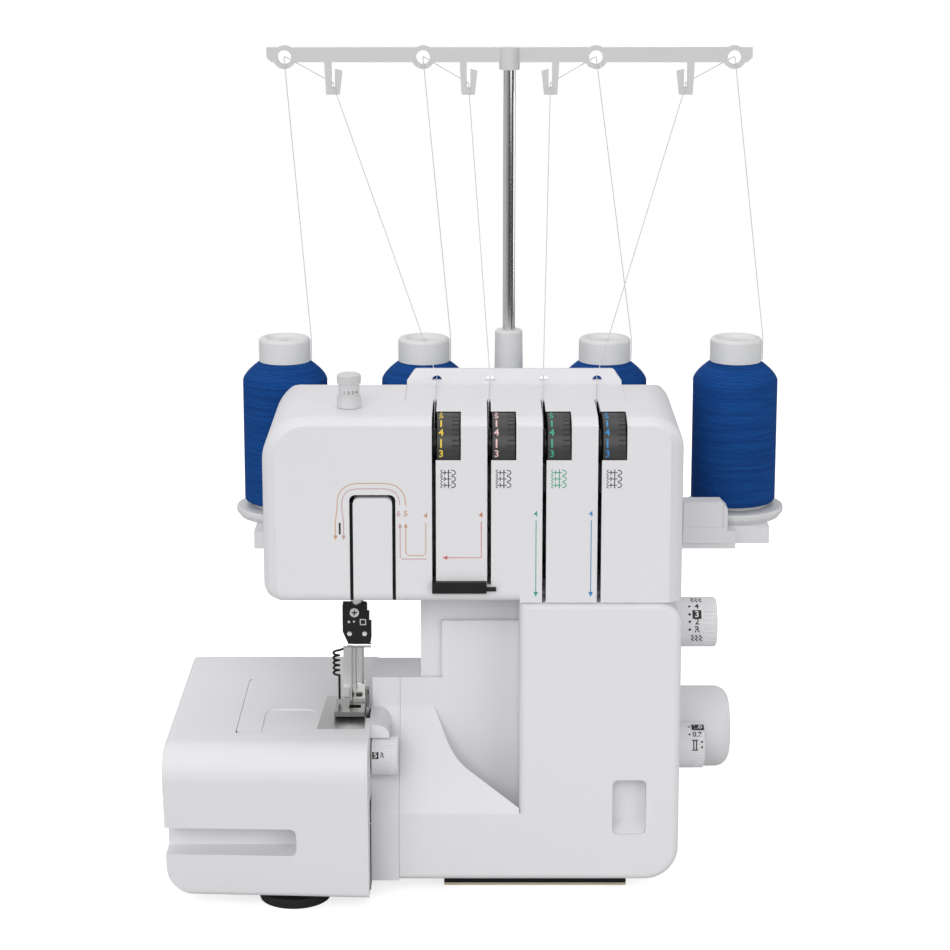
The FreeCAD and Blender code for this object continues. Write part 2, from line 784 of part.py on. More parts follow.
def scoop_edge():
    """What the rounded upright edge of the scoop leaves out."""
    x = scoop_x()
    low = GROUND_GAP + SCOOP_LOW
    corner = box((x, x + SCOOP_EDGE), (-WALL, SCOOP_EDGE), (low, BODY_TOP))
    return corner.cut(rod("Z", (x + SCOOP_EDGE, SCOOP_EDGE, low), BODY_TOP - low, SCOOP_EDGE))


def cover_outline(wall):
    left = FAIRING_RIGHT + FAIRING_GAP + wall
    right = BODY_RIGHT - wall
    low = GROUND_GAP + wall
    top = ARM_BOTTOM - COVER_GAP - wall
    step = scoop_x() + wall
    strip = COLUMN_LEFT + COVER_STRIP + wall
    strip_top = ARM_BOTTOM - COVER_STEP - wall
    shelf = BED_TOP + SHELF_HEIGHT - wall
    return [
        (left, low),
        (right, low, BASE_RADIUS - wall),
        (right, top, COVER_TOP_RADIUS - wall),
        (step, top),
        (step, strip_top),
        (strip, strip_top),
        (strip, shelf),
        (left, shelf),
    ]


def cover_edges(block):
    """Front edges of the cover along its bottom, right side and top."""
    chosen = []
    for edge in block.Edges:
        bounds = edge.BoundBox
        outer = bounds.XMax > BODY_RIGHT - BASE_RADIUS - TINY or bounds.ZMax < GROUND_GAP + TINY
        if bounds.YMax < TINY and outer:
            chosen.append(edge)
    return chosen


def finger_pocket(grow):
    right = BODY_RIGHT - FINGER_RIGHT + grow
    left = right - FINGER_WIDTH - 2 * grow
    low = GROUND_GAP + FINGER_RISE - grow
    high = low + FINGER_HEIGHT + 2 * grow
    deep = FINGER_DEPTH + grow
    corner = FINGER_WIDTH / 6
    front = [(left, low, corner), (right, low, corner), (right, high, corner), (left, high, corner)]
    ramp = [(-WALL, low - WALL), (deep, low + deep / 2), (deep, high), (-WALL, high)]
    return prism("XZ", front, (-WALL, deep)).common(prism("YZ", ramp, (left - WALL, right + WALL)))


def ear_xs():
    return [FAIRING_RIGHT + EAR_INSET, BODY_RIGHT - EAR_INSET - EAR_WIDTH]


def knuckle(x):
    start = x + EAR_WIDTH + SEAT
    sides = (HINGE_BACK - EAR_RADIUS, HINGE_BACK + EAR_RADIUS)
    return box((start, start + EAR_WIDTH), sides, (GROUND_GAP + WALL / 2, HINGE_Z + EAR_RADIUS))


def ear_room(x):
    """Gap in the cover's floor that lets it swing and slide past an ear."""
    sides = (x - COVER_SLIDE - 2 * SEAT, x + EAR_WIDTH + SEAT / 2)
    return box(sides, (HINGE_BACK - EAR_RADIUS - 2 * SEAT, SPLIT_DEPTH), (0, GROUND_GAP + 2 * WALL))


def hinge_rod(gap):
    start = ear_xs()[0] - COVER_SLIDE - EAR_WIDTH / 2
    end = ear_xs()[1] + 2 * EAR_WIDTH + 2 * SEAT
    return rod("X", (start, HINGE_BACK, HINGE_Z), end - start, HINGE_ROD_RADIUS + gap)


def front_cover():
    back = SPLIT_DEPTH - COVER_GAP
    block = prism("XZ", cover_outline(0), (0, back))
    block = block.makeFillet(COVER_EDGE, cover_edges(block))
    swing = ARM_BOTTOM - COVER_GAP - HINGE_Z
    block = block.common(rod("X", (BASE_LEFT, HINGE_BACK, HINGE_Z), BASE_WIDTH, swing))
    inside = prism("XZ", cover_outline(WALL), (WALL, SPLIT_DEPTH)).cut(scoop(WALL))
    shell = block.cut(scoop(0)).cut([inside, scoop_edge()])
    pocket = finger_pocket(WALL).common(box((-BODY_WIDTH, BODY_WIDTH), (WALL / 2, BODY_DEPTH), (0, BODY_TOP)))
    shell = fuse([shell, pocket] + [knuckle(x) for x in ear_xs()])
    return shell.cut([finger_pocket(0), hinge_rod(FIT)] + [ear_room(x) for x in ear_xs()])


def fairing_points(wall):
    shelf = BED_TOP + SHELF_HEIGHT - wall
    rise = slope_rise()
    drop = wall * math.sqrt(1 + rise * rise)
    low = GROUND_GAP + SCOOP_LOW - drop
    return [
        (wall, GROUND_GAP + wall),
        (SPLIT_DEPTH + 2 * wall, GROUND_GAP + wall),
        (SPLIT_DEPTH + 2 * wall, shelf),
        (SCOOP_DEPTH + wall, shelf),
        (SCOOP_DEPTH + wall, low + rise * (SCOOP_DEPTH + wall)),
        (wall, low + rise * wall),
    ]


def knife_guard():
    """Rounded hood above the cutting width knob."""
    left = BASE_LEFT
    right = BASE_LEFT + GUARD_WIDTH
    low = WIDTH_KNOB_RISE + WIDTH_KNOB_RADIUS + 2 * SEAT
    top = BED_TOP - SEAT
    points = [(left, low), (right, low), (right, top, GUARD_RADIUS), (left, top)]
    return prism("XZ", points, (GUARD_FRONT, SCOOP_DEPTH))


def side_fairing():
    """Fixed end of the front beside the needle plate, with the hood over its knob."""
    outer = prism("YZ", fairing_points(0), (BASE_LEFT, FAIRING_RIGHT)).fuse(knife_guard())
    inner = prism("YZ", fairing_points(WALL), (BASE_LEFT + WALL, FAIRING_RIGHT - WALL))
    return outer.cut(inner)


# Free arm, needle plate and extension table
def plate_outline(grow):
    right = BASE_LEFT - 2 * KNIFE_THICKNESS - FIT + grow
    left = right - PLATE_LENGTH - 2 * grow
    front = PLATE_FRONT - grow
    back = PLATE_FRONT + PLATE_DEPTH + grow
    return [(left, front), (right, front), (right, back), (left + PLATE_SLANT, back)]


def free_arm():
    outer_points = [
        (ARM_BED_LEFT, ARM_BED_FRONT, ARM_BED_RADIUS),
        (BASE_LEFT, ARM_BED_FRONT),
        (BASE_LEFT, ARM_BED_BACK),
        (ARM_BED_LEFT, ARM_BED_BACK, ARM_BED_RADIUS),
    ]
    arm = prism("XY", outer_points, (ARM_BED_BOTTOM, BED_TOP))
    inside = box(
        (ARM_BED_LEFT + WALL, BASE_LEFT - WALL),
        (ARM_BED_FRONT + WALL, ARM_BED_BACK - WALL),
        (ARM_BED_BOTTOM + WALL, BED_TOP - WALL),
    )
    seat = prism("XY", plate_outline(FIT), (PLATE_TOP - PLATE_THICKNESS, BED_TOP + WALL))
    throat = prism("XY", plate_outline(-PLATE_LEDGE), (PLATE_TOP - 2 * WALL, BED_TOP))
    knife_way = box(
        (BASE_LEFT - 3 * KNIFE_THICKNESS, BASE_LEFT - KNIFE_THICKNESS / 2),
        (NEEDLE_BACK - KNIFE_WIDTH, NEEDLE_BACK + KNIFE_WIDTH),
        (PLATE_TOP - 2 * WALL, BED_TOP + WALL),
    )
    knife_room = box(
        (BASE_LEFT - 3 * KNIFE_THICKNESS, BASE_LEFT - KNIFE_THICKNESS / 2),
        (NEEDLE_BACK - KNIFE_WIDTH, ARM_BED_BACK - WALL),
        (ARM_BED_BOTTOM + 2 * WALL, BED_TOP - WALL),
    )
    stem = rod("X", (BASE_LEFT - 2 * WALL, WIDTH_KNOB_BACK, WIDTH_KNOB_RISE), 3 * WALL, DIAL_STEM + RUNNING)
    passage = bed_passage().translated(vec(-WALL, 0, 0))
    return arm.cut([inside, seat, throat, knife_way, knife_room, stem, passage, finger_dip()])


def feed_xs():
    middle = NEEDLE_X - NEEDLE_PITCH
    return [middle + FEED_PITCH * (i - (FEED_COUNT - 1) / 2) for i in range(FEED_COUNT)]


def feed_front():
    return NEEDLE_BACK + 4 * FEED_STROKE


def needle_plate():
    plate = prism("XY", plate_outline(0), (PLATE_TOP - PLATE_THICKNESS, PLATE_TOP))
    through = (PLATE_TOP - 2 * PLATE_THICKNESS, PLATE_TOP + PLATE_THICKNESS)
    slack = FEED_STROKE + 2 * SEAT
    cuts = [box((NEEDLE_X - 2 * NEEDLE_PITCH, NEEDLE_X + NEEDLE_PITCH), (NEEDLE_BACK - 1.5 * NEEDLE_PITCH,
                NEEDLE_BACK + NEEDLE_PITCH), through)]
    for x in feed_xs():
        sides = (x - FEED_WIDTH / 2 - SEAT, x + FEED_WIDTH / 2 + SEAT)
        cuts.append(box(sides, (feed_front() - slack, feed_front() + FEED_LENGTH + slack), through))
    return plate.cut(cuts)


def feed_dogs():
    """Three toothed bars on one carrier below the plate."""
    low = PLATE_TOP - PLATE_THICKNESS - WALL - 2 * FEED_WIDTH
    bars = []
    for x in feed_xs():
        sides = (x - FEED_WIDTH / 2, x + FEED_WIDTH / 2)
        bars.append(box(sides, (feed_front(), feed_front() + FEED_LENGTH), (low, PLATE_TOP + FEED_PROUD)))
    ends = (feed_xs()[0] - FEED_WIDTH / 2, feed_xs()[-1] + FEED_WIDTH / 2)
    carrier = box(ends, (feed_front(), feed_front() + FEED_LENGTH), (low - FEED_WIDTH, low + FEED_WIDTH))
    return fuse([carrier] + bars)


def feed_rail():
    """Rail in the free arm that the feed dogs slide on."""
    low = PLATE_TOP - PLATE_THICKNESS - WALL - 3 * FEED_WIDTH
    ends = (feed_xs()[0] - FEED_WIDTH / 2, feed_xs()[-1] + FEED_WIDTH / 2)
    reach = (feed_front() - 2 * FEED_STROKE, ARM_BED_BACK - WALL)
    return box(ends, reach, (ARM_BED_BOTTOM + WALL, low - RUNNING)).cut(knife_pin_rod(FIT))


def finger_dip():
    """Shallow dip in the bed's top, across the free arm and the table."""
    right = BASE_LEFT - DIP_RIGHT
    left = right - DIP_LENGTH
    corners = [(left, -DIP_FRONT), (right, -DIP_FRONT), (right, DIP_BACK), (left, DIP_BACK)]
    return prism("XY", [corner + (DIP_RADIUS,) for corner in corners], (BED_TOP - DIP_SINK, BED_TOP + WALL))


def table_points(front, tuck):
    """Side view of the table: flat top, rounded nose, face tucked in below."""
    back = BODY_DEPTH + TABLE_BACK
    return [
        (back, BED_TOP, TABLE_EDGE),
        (-front, BED_TOP, TABLE_NOSE_RADIUS),
        (-front + tuck, GROUND_GAP + SEAT, TABLE_EDGE),
        (back, GROUND_GAP + SEAT),
    ]


def table_block(wall):
    left = BASE_LEFT - TABLE_GAP - TABLE_LENGTH + wall
    right = BASE_LEFT - TABLE_GAP - wall
    back = BODY_DEPTH + TABLE_BACK - wall
    left_end = table_points(TABLE_FRONT - TABLE_SWEEP - wall, TABLE_TUCK + TABLE_TWIST)
    right_end = table_points(TABLE_FRONT - wall, TABLE_TUCK)
    ends = []
    for x, points in ((left, left_end), (right, right_end)):
        shifted = [(min(p[0], back), p[1] - wall) + tuple(p[2:]) for p in points]
        ends.append(outline("YZ", shifted, x))
    return loft(ends)


def table_corner():
    """Front view of the table, rounded at the lower left."""
    left = BASE_LEFT - TABLE_GAP - TABLE_LENGTH
    points = [
        (left, GROUND_GAP + SEAT, TABLE_RADIUS),
        (BASE_LEFT, GROUND_GAP + SEAT),
        (BASE_LEFT, BED_TOP),
        (left, BED_TOP, TABLE_EDGE),
    ]
    return prism("XZ", points, (-2 * TABLE_FRONT, BODY_DEPTH + TABLE_FRONT))


def arm_bay(grow):
    """Space in the table for the free arm."""
    return box(
        (ARM_BED_LEFT - TABLE_GAP - grow, BASE_LEFT + WALL),
        (ARM_BED_FRONT - TABLE_GAP - grow, ARM_BED_BACK + TABLE_GAP + grow),
        (-WALL, BED_TOP + WALL),
    )


def grip_slot(grow):
    """Grip recess open to the left and front of the table."""
    left = BASE_LEFT - 2 * TABLE_LENGTH
    right = BASE_LEFT - TABLE_LENGTH + GRIP_LENGTH + grow
    low = GROUND_GAP + GRIP_RISE - grow
    high = low + GRIP_HEIGHT + 2 * grow
    points = [(left, low), (right, low, GRIP_RADIUS), (right, high, GRIP_RADIUS), (left, high)]
    return prism("XZ", points, (-2 * TABLE_FRONT, -TABLE_FRONT + GRIP_DEPTH + grow))


def extension_table():
    block = table_block(0).common(table_corner())
    inside = table_block(WALL).cut([arm_bay(WALL), grip_slot(WALL)])
    return block.cut([inside, arm_bay(0), grip_slot(0), finger_dip()])


# Needle bar, clamp and needles
def clamp_top():
    return ARM_BOTTOM - CLAMP_DROP


def clamp_low():
    return clamp_top() - CLAMP_HEIGHT


def clamp_front():
    return NEEDLE_BACK - CLAMP_DEPTH / 2


def bar_foot():
    """Lower end of the needle bar, half way down the clamp."""
    return clamp_top() - CLAMP_HEIGHT / 2


def needle_xs():
    return [NEEDLE_X - 1.5 * NEEDLE_PITCH, NEEDLE_X - 0.5 * NEEDLE_PITCH]


def screw_places():
    """Middle and head radius of the large screw and the two small ones."""
    low = clamp_low() + PIN_SCREW_RISE
    return [
        (NEEDLE_X - SCREW_SIDE, clamp_top() - SCREW_DROP, SCREW_RADIUS),
        (NEEDLE_X - PIN_SCREW_LEFT, low, PIN_SCREW_RADIUS),
        (NEEDLE_X + PIN_SCREW_RIGHT, low, PIN_SCREW_RADIUS),
    ]


def needle_rods(gap):
    rods = []
    for x in needle_xs():
        top = clamp_low() + CLAMP_HEIGHT / 4
        place = (x, NEEDLE_BACK, top - NEEDLE_LENGTH)
        rods.append(rod("Z", place, NEEDLE_LENGTH, NEEDLE_RADIUS + gap))
    return rods


def screw_stems(gap):
    length = CLAMP_DEPTH / 2 - NEEDLE_BAR_RADIUS - SEAT
    front = clamp_front()
    return [rod("Y", (x, front, z), length + gap, radius / 2 + gap) for x, z, radius in screw_places()]


def needle_bar():
    """Bar with the two needles that the clamp holds below it."""
    bar = rod("Z", (NEEDLE_X, NEEDLE_BACK, bar_foot()), NEEDLE_BAR_LENGTH, NEEDLE_BAR_RADIUS)
    return group([bar] + needle_rods(0))


def needle_clamp():
    """Block with a stepped right side and a tucked lower left corner."""
    left = NEEDLE_X - CLAMP_LEFT
    right = NEEDLE_X + CLAMP_RIGHT
    low = clamp_low()
    points = [
        (left + CLAMP_TUCK, low, CLAMP_CORNER),
        (right, low, CLAMP_CORNER),
        (right, low + CLAMP_LOW_STEP),
        (right - CLAMP_STEP, low + CLAMP_LOW_STEP),
        (right - CLAMP_STEP, low + CLAMP_HIGH_STEP),
        (right - 2 * CLAMP_STEP, low + CLAMP_HIGH_STEP),
        (right - 2 * CLAMP_STEP, clamp_top(), CLAMP_CORNER),
        (left, clamp_top()),
        (left, low + CLAMP_TUCK_RISE),
    ]
    block = prism("XZ", points, (clamp_front(), clamp_front() + CLAMP_DEPTH))
    bore = rod("Z", (NEEDLE_X, NEEDLE_BACK, bar_foot()), CLAMP_HEIGHT, NEEDLE_BAR_RADIUS + FIT)
    return block.cut([bore] + needle_rods(FIT) + screw_stems(FIT))


def clamp_screws():
    screws = []
    for (x, z, radius), stem in zip(screw_places(), screw_stems(0)):
        head = rod("Y", (x, clamp_front() - radius / 2, z), radius / 2, radius)
        slot = box(
            (x - radius, x + radius),
            (clamp_front() - radius, clamp_front() - radius / 4),
            (z - radius / 5, z + radius / 5),
        )
        screws.append(head.fuse(stem).cut(slot))
    return group(screws)


# Presser bar, foot and lifting lever
def foot_pin():
    return PRESSER_BACK, FOOT_BASE + FOOT_PIN_RISE


def ankle_low():
    return foot_pin()[1] - 2 * FOOT_PIN_RADIUS


def presser_shank():
    """Flat plate on the left of the bar, joined to the ankle below and to the bar above."""
    right = PRESSER_X - ANKLE_WIDTH / 2
    left = right - SHANK_WIDTH
    front = PRESSER_BACK - ANKLE_WIDTH / 2
    low = ankle_low() + SHANK_RISE
    top = low + SHANK_HEIGHT
    plate = box((left, right + SHANK_THICKNESS / 2), (front, front + SHANK_THICKNESS), (low, top))
    collar = box((left, PRESSER_X), (front, PRESSER_BACK), (top - 2 * SHANK_THICKNESS, top))
    return [plate, collar]


def presser_bar():
    """Round bar with a square ankle that takes the foot's pin, and its shank plate."""
    half = ANKLE_WIDTH / 2
    ankle = box(
        (PRESSER_X - half, PRESSER_X + half),
        (PRESSER_BACK - half, PRESSER_BACK + half),
        (ankle_low(), ankle_low() + ANKLE_HEIGHT),
    )
    height = FRAME_TOP + LUG_HEIGHT - ankle_low() - half
    bar = rod("Z", (PRESSER_X, PRESSER_BACK, ankle_low() + half), height, PRESSER_BAR_RADIUS)
    y, z = foot_pin()
    hole = rod("X", (PRESSER_X - ANKLE_WIDTH, y, z), 2 * ANKLE_WIDTH, FOOT_PIN_RADIUS + RUNNING)
    return fuse([ankle, bar] + presser_shank()).cut(hole)


def presser_foot():
    """Sole with a needle slot, a rising toe and two cheeks that carry the pin."""
    right = BASE_LEFT - 2 * KNIFE_THICKNESS - 2 * SEAT
    left = right - FOOT_WIDTH
    front = NEEDLE_BACK - FOOT_LENGTH / 2
    back = NEEDLE_BACK + FOOT_LENGTH / 2
    top = FOOT_BASE + FOOT_SOLE
    toe = [
        (front, FOOT_BASE + FOOT_SOLE),
        (front + 2 * FOOT_SOLE, FOOT_BASE),
        (back, FOOT_BASE),
        (back, top),
        (front + FOOT_SOLE, top + FOOT_SOLE),
    ]
    sole = prism("YZ", toe, (left, right))
    y, z = foot_pin()
    half = ANKLE_WIDTH / 2 + SEAT
    reach = 2.5 * FOOT_PIN_RADIUS
    cheeks = []
    for x in (PRESSER_X - half - FOOT_SOLE, PRESSER_X + half):
        cheeks.append(box((x, x + FOOT_SOLE), (y - reach, back), (FOOT_BASE, z + reach)))
    pin = rod("X", (PRESSER_X - half, y, z), 2 * half, FOOT_PIN_RADIUS)
    slot = box((NEEDLE_X - 2 * NEEDLE_PITCH, NEEDLE_X + NEEDLE_PITCH), (NEEDLE_BACK - 2 * NEEDLE_PITCH,
               NEEDLE_BACK + NEEDLE_PITCH), (FOOT_BASE - FOOT_SOLE, top + 2 * FOOT_SOLE))
    return fuse([sole, pin] + cheeks).cut(slot)


def lever_place():
    """Middle of the lever's pivot: between the first two cones, at the back of the head."""
    return (CONE_XS[0] + CONE_XS[1]) / 2, BODY_DEPTH - LEVER_LENGTH / 2, ARM_BOTTOM + LEVER_RISE


def presser_lever():
    x, y, z = lever_place()
    half = LEVER_WIDTH / 2
    points = [
        (y - LEVER_RADIUS, z - LEVER_RADIUS, half),
        (y + LEVER_LENGTH, z - LEVER_RADIUS, half),
        (y + LEVER_LENGTH, z + LEVER_RADIUS / 2, half / 2),
        (y - LEVER_RADIUS, z + LEVER_RADIUS, half),
    ]
    arm = prism("YZ", points, (x - half, x + half))
    return arm.cut(rod("X", (x - LEVER_WIDTH, y, z), 2 * LEVER_WIDTH, LEVER_RADIUS / 2 + RUNNING))


def lever_pin():
    x, y, z = lever_place()
    reach = LEVER_WIDTH + SEAT
    return rod("X", (x - reach, y, z), 2 * reach, LEVER_RADIUS / 2)


def lever_slot():
    x, y, z = lever_place()
    half = LEVER_WIDTH / 2 + 2 * SEAT
    return box((x - half, x + half), (BODY_DEPTH - CROWN_DEPTH - WALL, BODY_DEPTH + WALL),
               (z - LEVER_RADIUS - 2 * SEAT, z + LEVER_LENGTH * 0.75))


def bush_places():
    return [(NEEDLE_X, NEEDLE_BACK, NEEDLE_BAR_RADIUS), (PRESSER_X, PRESSER_BACK, PRESSER_BAR_RADIUS)]


def bar_bushes():
    rings = []
    for x, y, radius in bush_places():
        for z in (LUG_LOW, LUG_HIGH):
            rings.append(ring("Z", (x, y, z), LUG_HEIGHT, radius + RUNNING + BUSH_WALL, radius + RUNNING))
    return rings


# Knives, loopers and what carries them in the free arm
def upper_knife():
    low = KNIFE_PIVOT_Z
    hub = 2 * LOOPER_PIN_RADIUS
    tip = BED_TOP + KNIFE_RISE
    half = KNIFE_WIDTH / 2
    points = [
        (KNIFE_PIVOT_Y + hub, low - hub, hub / 2),
        (KNIFE_PIVOT_Y + hub, low + hub, hub / 2),
        (NEEDLE_BACK + half, low + 2 * hub),
        (NEEDLE_BACK + half, tip),
        (NEEDLE_BACK - half, tip - hub),
        (NEEDLE_BACK - half, low),
    ]
    start = BASE_LEFT - 2 * KNIFE_THICKNESS
    blade = prism("YZ", points, (start, start + KNIFE_THICKNESS))
    place = (start - KNIFE_THICKNESS, KNIFE_PIVOT_Y, low)
    hole = rod("X", place, 4 * KNIFE_THICKNESS, LOOPER_PIN_RADIUS + RUNNING)
    return blade.cut(hole)


def rail_right():
    return feed_xs()[-1] + FEED_WIDTH / 2


def knife_pin_rod(gap):
    start = rail_right() - 2 * FEED_WIDTH
    end = BASE_LEFT - KNIFE_THICKNESS / 2 - SEAT
    return rod("X", (start, KNIFE_PIVOT_Y, KNIFE_PIVOT_Z), end - start, LOOPER_PIN_RADIUS + gap)


def lower_knife():
    half = KNIFE_WIDTH / 2
    return box(
        (rail_right(), BASE_LEFT - 2 * KNIFE_THICKNESS - 2 * FIT),
        (NEEDLE_BACK - half, NEEDLE_BACK + 1.5 * half),
        (KNIFE_PIVOT_Z + half / 2, PLATE_TOP - PLATE_THICKNESS - FIT),
    )


def looper(x):
    """Curved arm with a hooked tip, on a pin through its foot."""
    foot = 2 * LOOPER_PIN_RADIUS
    tip = LOOPER_Z + LOOPER_LENGTH
    points = [
        (x - foot, LOOPER_Z - foot, foot / 2),
        (x + foot, LOOPER_Z - foot, foot / 2),
        (x + foot / 2, tip - foot, foot / 4),
        (x + 2 * foot, tip - foot / 2),
        (x, tip, foot / 4),
        (x - foot, LOOPER_Z + foot, foot / 4),
    ]
    arm = prism("XZ", points, (LOOPER_Y, LOOPER_Y + LOOPER_THICKNESS))
    return arm.cut(rod("Y", (x, LOOPER_Y - foot, LOOPER_Z), 3 * foot, LOOPER_PIN_RADIUS + RUNNING))


def pivot_pins():
    pins = []
    for x in LOOPER_XS:
        start = LOOPER_Y - LOOPER_THICKNESS
        pins.append(rod("Y", (x, start, LOOPER_Z), WEB_Y - start, LOOPER_PIN_RADIUS))
    return group(pins + [knife_pin_rod(0), lever_pin()])


def bed_web():
    right = feed_xs()[0] - FEED_WIDTH / 2 - 2 * LOOPER_PIN_RADIUS
    return box((ARM_BED_LEFT + WALL, right), (WEB_Y, WEB_Y + WALL), (ARM_BED_BOTTOM + WALL, BED_TOP - WALL))


def bed_supports():
    return group([feed_rail(), bed_web()])


# Thread tension units
def dial_end(x):
    return dial_start(x) + DIAL_WIDTH


def post_start(x):
    return x - SLOT_WIDTH / 2 - SPRING_LENGTH - DISC_THICKNESS - WALL


def tension_dial(x):
    start = dial_start(x)
    rim = turned("X", (DIAL_Y, DIAL_Z), [
        (start, DIAL_BORE + RUNNING),
        (start, DIAL_RADIUS, DIAL_RECESS),
        (start + DIAL_WIDTH, DIAL_RADIUS, DIAL_RECESS),
        (start + DIAL_WIDTH, DIAL_BORE + RUNNING),
    ])
    ridged = DIAL_WIDTH / 3
    return knurled(rim, "X", (DIAL_Y, DIAL_Z), start + DIAL_WIDTH - ridged, ridged, DIAL_RADIUS)


def tension_spindles():
    spindles = []
    for x in SLOT_XS:
        start = post_start(x)
        spindles.append(rod("X", (start, DIAL_Y, DIAL_Z), dial_end(x) + WINDOW_GAP - start, DIAL_BORE))
    return spindles


def tension_discs():
    discs = []
    for x in SLOT_XS:
        for start in (x - SLOT_WIDTH / 2, x + SLOT_WIDTH / 2 - DISC_THICKNESS):
            discs.append(ring("X", (start, DIAL_Y, DIAL_Z), DISC_THICKNESS, DISC_RADIUS, DIAL_BORE + FIT))
    return discs


def tension_springs():
    """Ribbed spring sleeves that push the discs together."""
    springs = []
    for x in SLOT_XS:
        start = post_start(x) + WALL + FIT
        end = x - SLOT_WIDTH / 2 - FIT
        springs.append(ring("X", (start, DIAL_Y, DIAL_Z), end - start, SPRING_RADIUS, DIAL_BORE + FIT))
    return springs


def tension_bracket():
    """Bar on the frame with one post for each spindle."""
    back = DIAL_Y + DIAL_RADIUS + WALL
    half = SPRING_RADIUS + WALL
    left = post_start(SLOT_XS[0])
    pieces = [box((left, dial_end(SLOT_XS[-1])), (back, FRAME_FRONT), (FRAME_TOP - half, DIAL_Z + half))]
    for x in SLOT_XS:
        start = post_start(x)
        pieces.append(box((start, start + WALL), (DIAL_Y - half, back), (DIAL_Z - half, DIAL_Z + half)))
    holes = [rod("X", (post_start(x) - WALL, DIAL_Y, DIAL_Z), 3 * WALL, DIAL_BORE + FIT) for x in SLOT_XS]
    return fuse(pieces).cut(holes)


def tension_units():
    """What carries and squeezes the threads behind the four dials."""
    return group([tension_bracket()] + tension_spindles() + tension_discs() + tension_springs())


# Knobs and dials
def pressure_knob():
    low = BODY_TOP + SEAT
    top = BODY_TOP + PRESSURE_HEIGHT
    cap = top - PRESSURE_CAP
    corner = PRESSURE_CAP / 3
    x, y = pressure_place()
    body = turned("Z", (x, y), [
        (BODY_TOP - 2 * WALL, 0),
        (BODY_TOP - 2 * WALL, PRESSURE_STEM),
        (low, PRESSURE_STEM),
        (low, PRESSURE_RADIUS),
        (low + PRESSURE_COLLAR, PRESSURE_RADIUS),
        (low + PRESSURE_COLLAR, PRESSURE_WAIST),
        (cap, PRESSURE_WAIST),
        (cap, PRESSURE_RADIUS),
        (top, PRESSURE_RADIUS, corner),
        (top, 0),
    ])
    return knurled(body, "Z", (x, y), cap, PRESSURE_CAP, PRESSURE_RADIUS)


def side_dial(place, radius, reach, root):
    """A numbered knob on the end of a stem, knurled at its outer end."""
    start = root + 2 * SEAT
    end = root + reach
    body = turned("X", place, [
        (root - 2 * WALL, 0),
        (root - 2 * WALL, DIAL_STEM),
        (start, DIAL_STEM),
        (start, radius, SEAT),
        (end, radius, radius / 10),
        (end, 0),
    ])
    grip = reach / 3
    return knurled(body, "X", place, end - grip, grip, radius)


def stitch_length_dial():
    return side_dial((LENGTH_DIAL_BACK, LENGTH_DIAL_RISE), LENGTH_DIAL_RADIUS, LENGTH_DIAL_REACH, BODY_RIGHT)


def differential_dial():
    return side_dial((FEED_DIAL_BACK, FEED_DIAL_RISE), FEED_DIAL_RADIUS, FEED_DIAL_REACH, BODY_RIGHT)


def cutting_width_knob():
    return side_dial((WIDTH_KNOB_BACK, WIDTH_KNOB_RISE), WIDTH_KNOB_RADIUS, WIDTH_KNOB_REACH, BASE_LEFT)


# Drive
def main_shaft():
    """Shaft with the driven pulley on it."""
    start = PLATE_A - 3 * FRAME_PLATE
    end = BODY_RIGHT + WHEEL_REACH - 2 * SHAFT_RADIUS
    shaft = rod("X", (start, SHAFT_BACK, SHAFT_RISE), end - start, SHAFT_RADIUS)
    return shaft.fuse(rod("X", (PULLEY_X, SHAFT_BACK, SHAFT_RISE), PULLEY_WIDTH, PULLEY_RADIUS))


def handwheel():
    start = BODY_RIGHT + 2 * SEAT
    end = BODY_RIGHT + WHEEL_REACH
    bore = SHAFT_RADIUS + FIT
    floor = end - 2 * SHAFT_RADIUS + FIT
    waist = WHEEL_RADIUS - SHAFT_RADIUS / 2
    return turned("X", (SHAFT_BACK, SHAFT_RISE), [
        (start, bore),
        (start, waist, SEAT),
        (start + SHAFT_RADIUS, WHEEL_RADIUS, SHAFT_RADIUS / 4),
        (end, WHEEL_RADIUS, WHEEL_EDGE),
        (end, 0),
        (floor, 0),
        (floor, bore),
    ])


def shaft_bushes():
    bore = SHAFT_RADIUS + RUNNING
    places = [PLATE_A, PLATE_B]
    return [ring("X", (x, SHAFT_BACK, SHAFT_RISE), FRAME_PLATE, bore + BUSH_WALL, bore) for x in places]


def bushes():
    return group(bar_bushes() + shaft_bushes())


def motor():
    face = PLATE_B - MOTOR_FLANGE
    can = rod("X", (face - MOTOR_LENGTH, SHAFT_BACK, MOTOR_RISE), MOTOR_LENGTH, MOTOR_RADIUS)
    half = MOTOR_RADIUS + 2 * SEAT
    sides = (SHAFT_BACK - half, SHAFT_BACK + half)
    flange = box((face, PLATE_B), sides, (MOTOR_RISE - half, MOTOR_RISE + half))
    middle = (face - MOTOR_LENGTH / 2, SHAFT_BACK, MOTOR_RISE)
    bore = rod("X", middle, MOTOR_LENGTH, MOTOR_SHAFT_RADIUS + RUNNING)
    return can.fuse(flange).cut(bore)


def motor_pulley():
    start = PLATE_B - MOTOR_FLANGE - MOTOR_LENGTH / 4
    end = PULLEY_X + PULLEY_WIDTH
    shaft = rod("X", (start, SHAFT_BACK, MOTOR_RISE), end - start, MOTOR_SHAFT_RADIUS)
    return shaft.fuse(rod("X", (PULLEY_X, SHAFT_BACK, MOTOR_RISE), PULLEY_WIDTH, MOTOR_PULLEY_RADIUS))


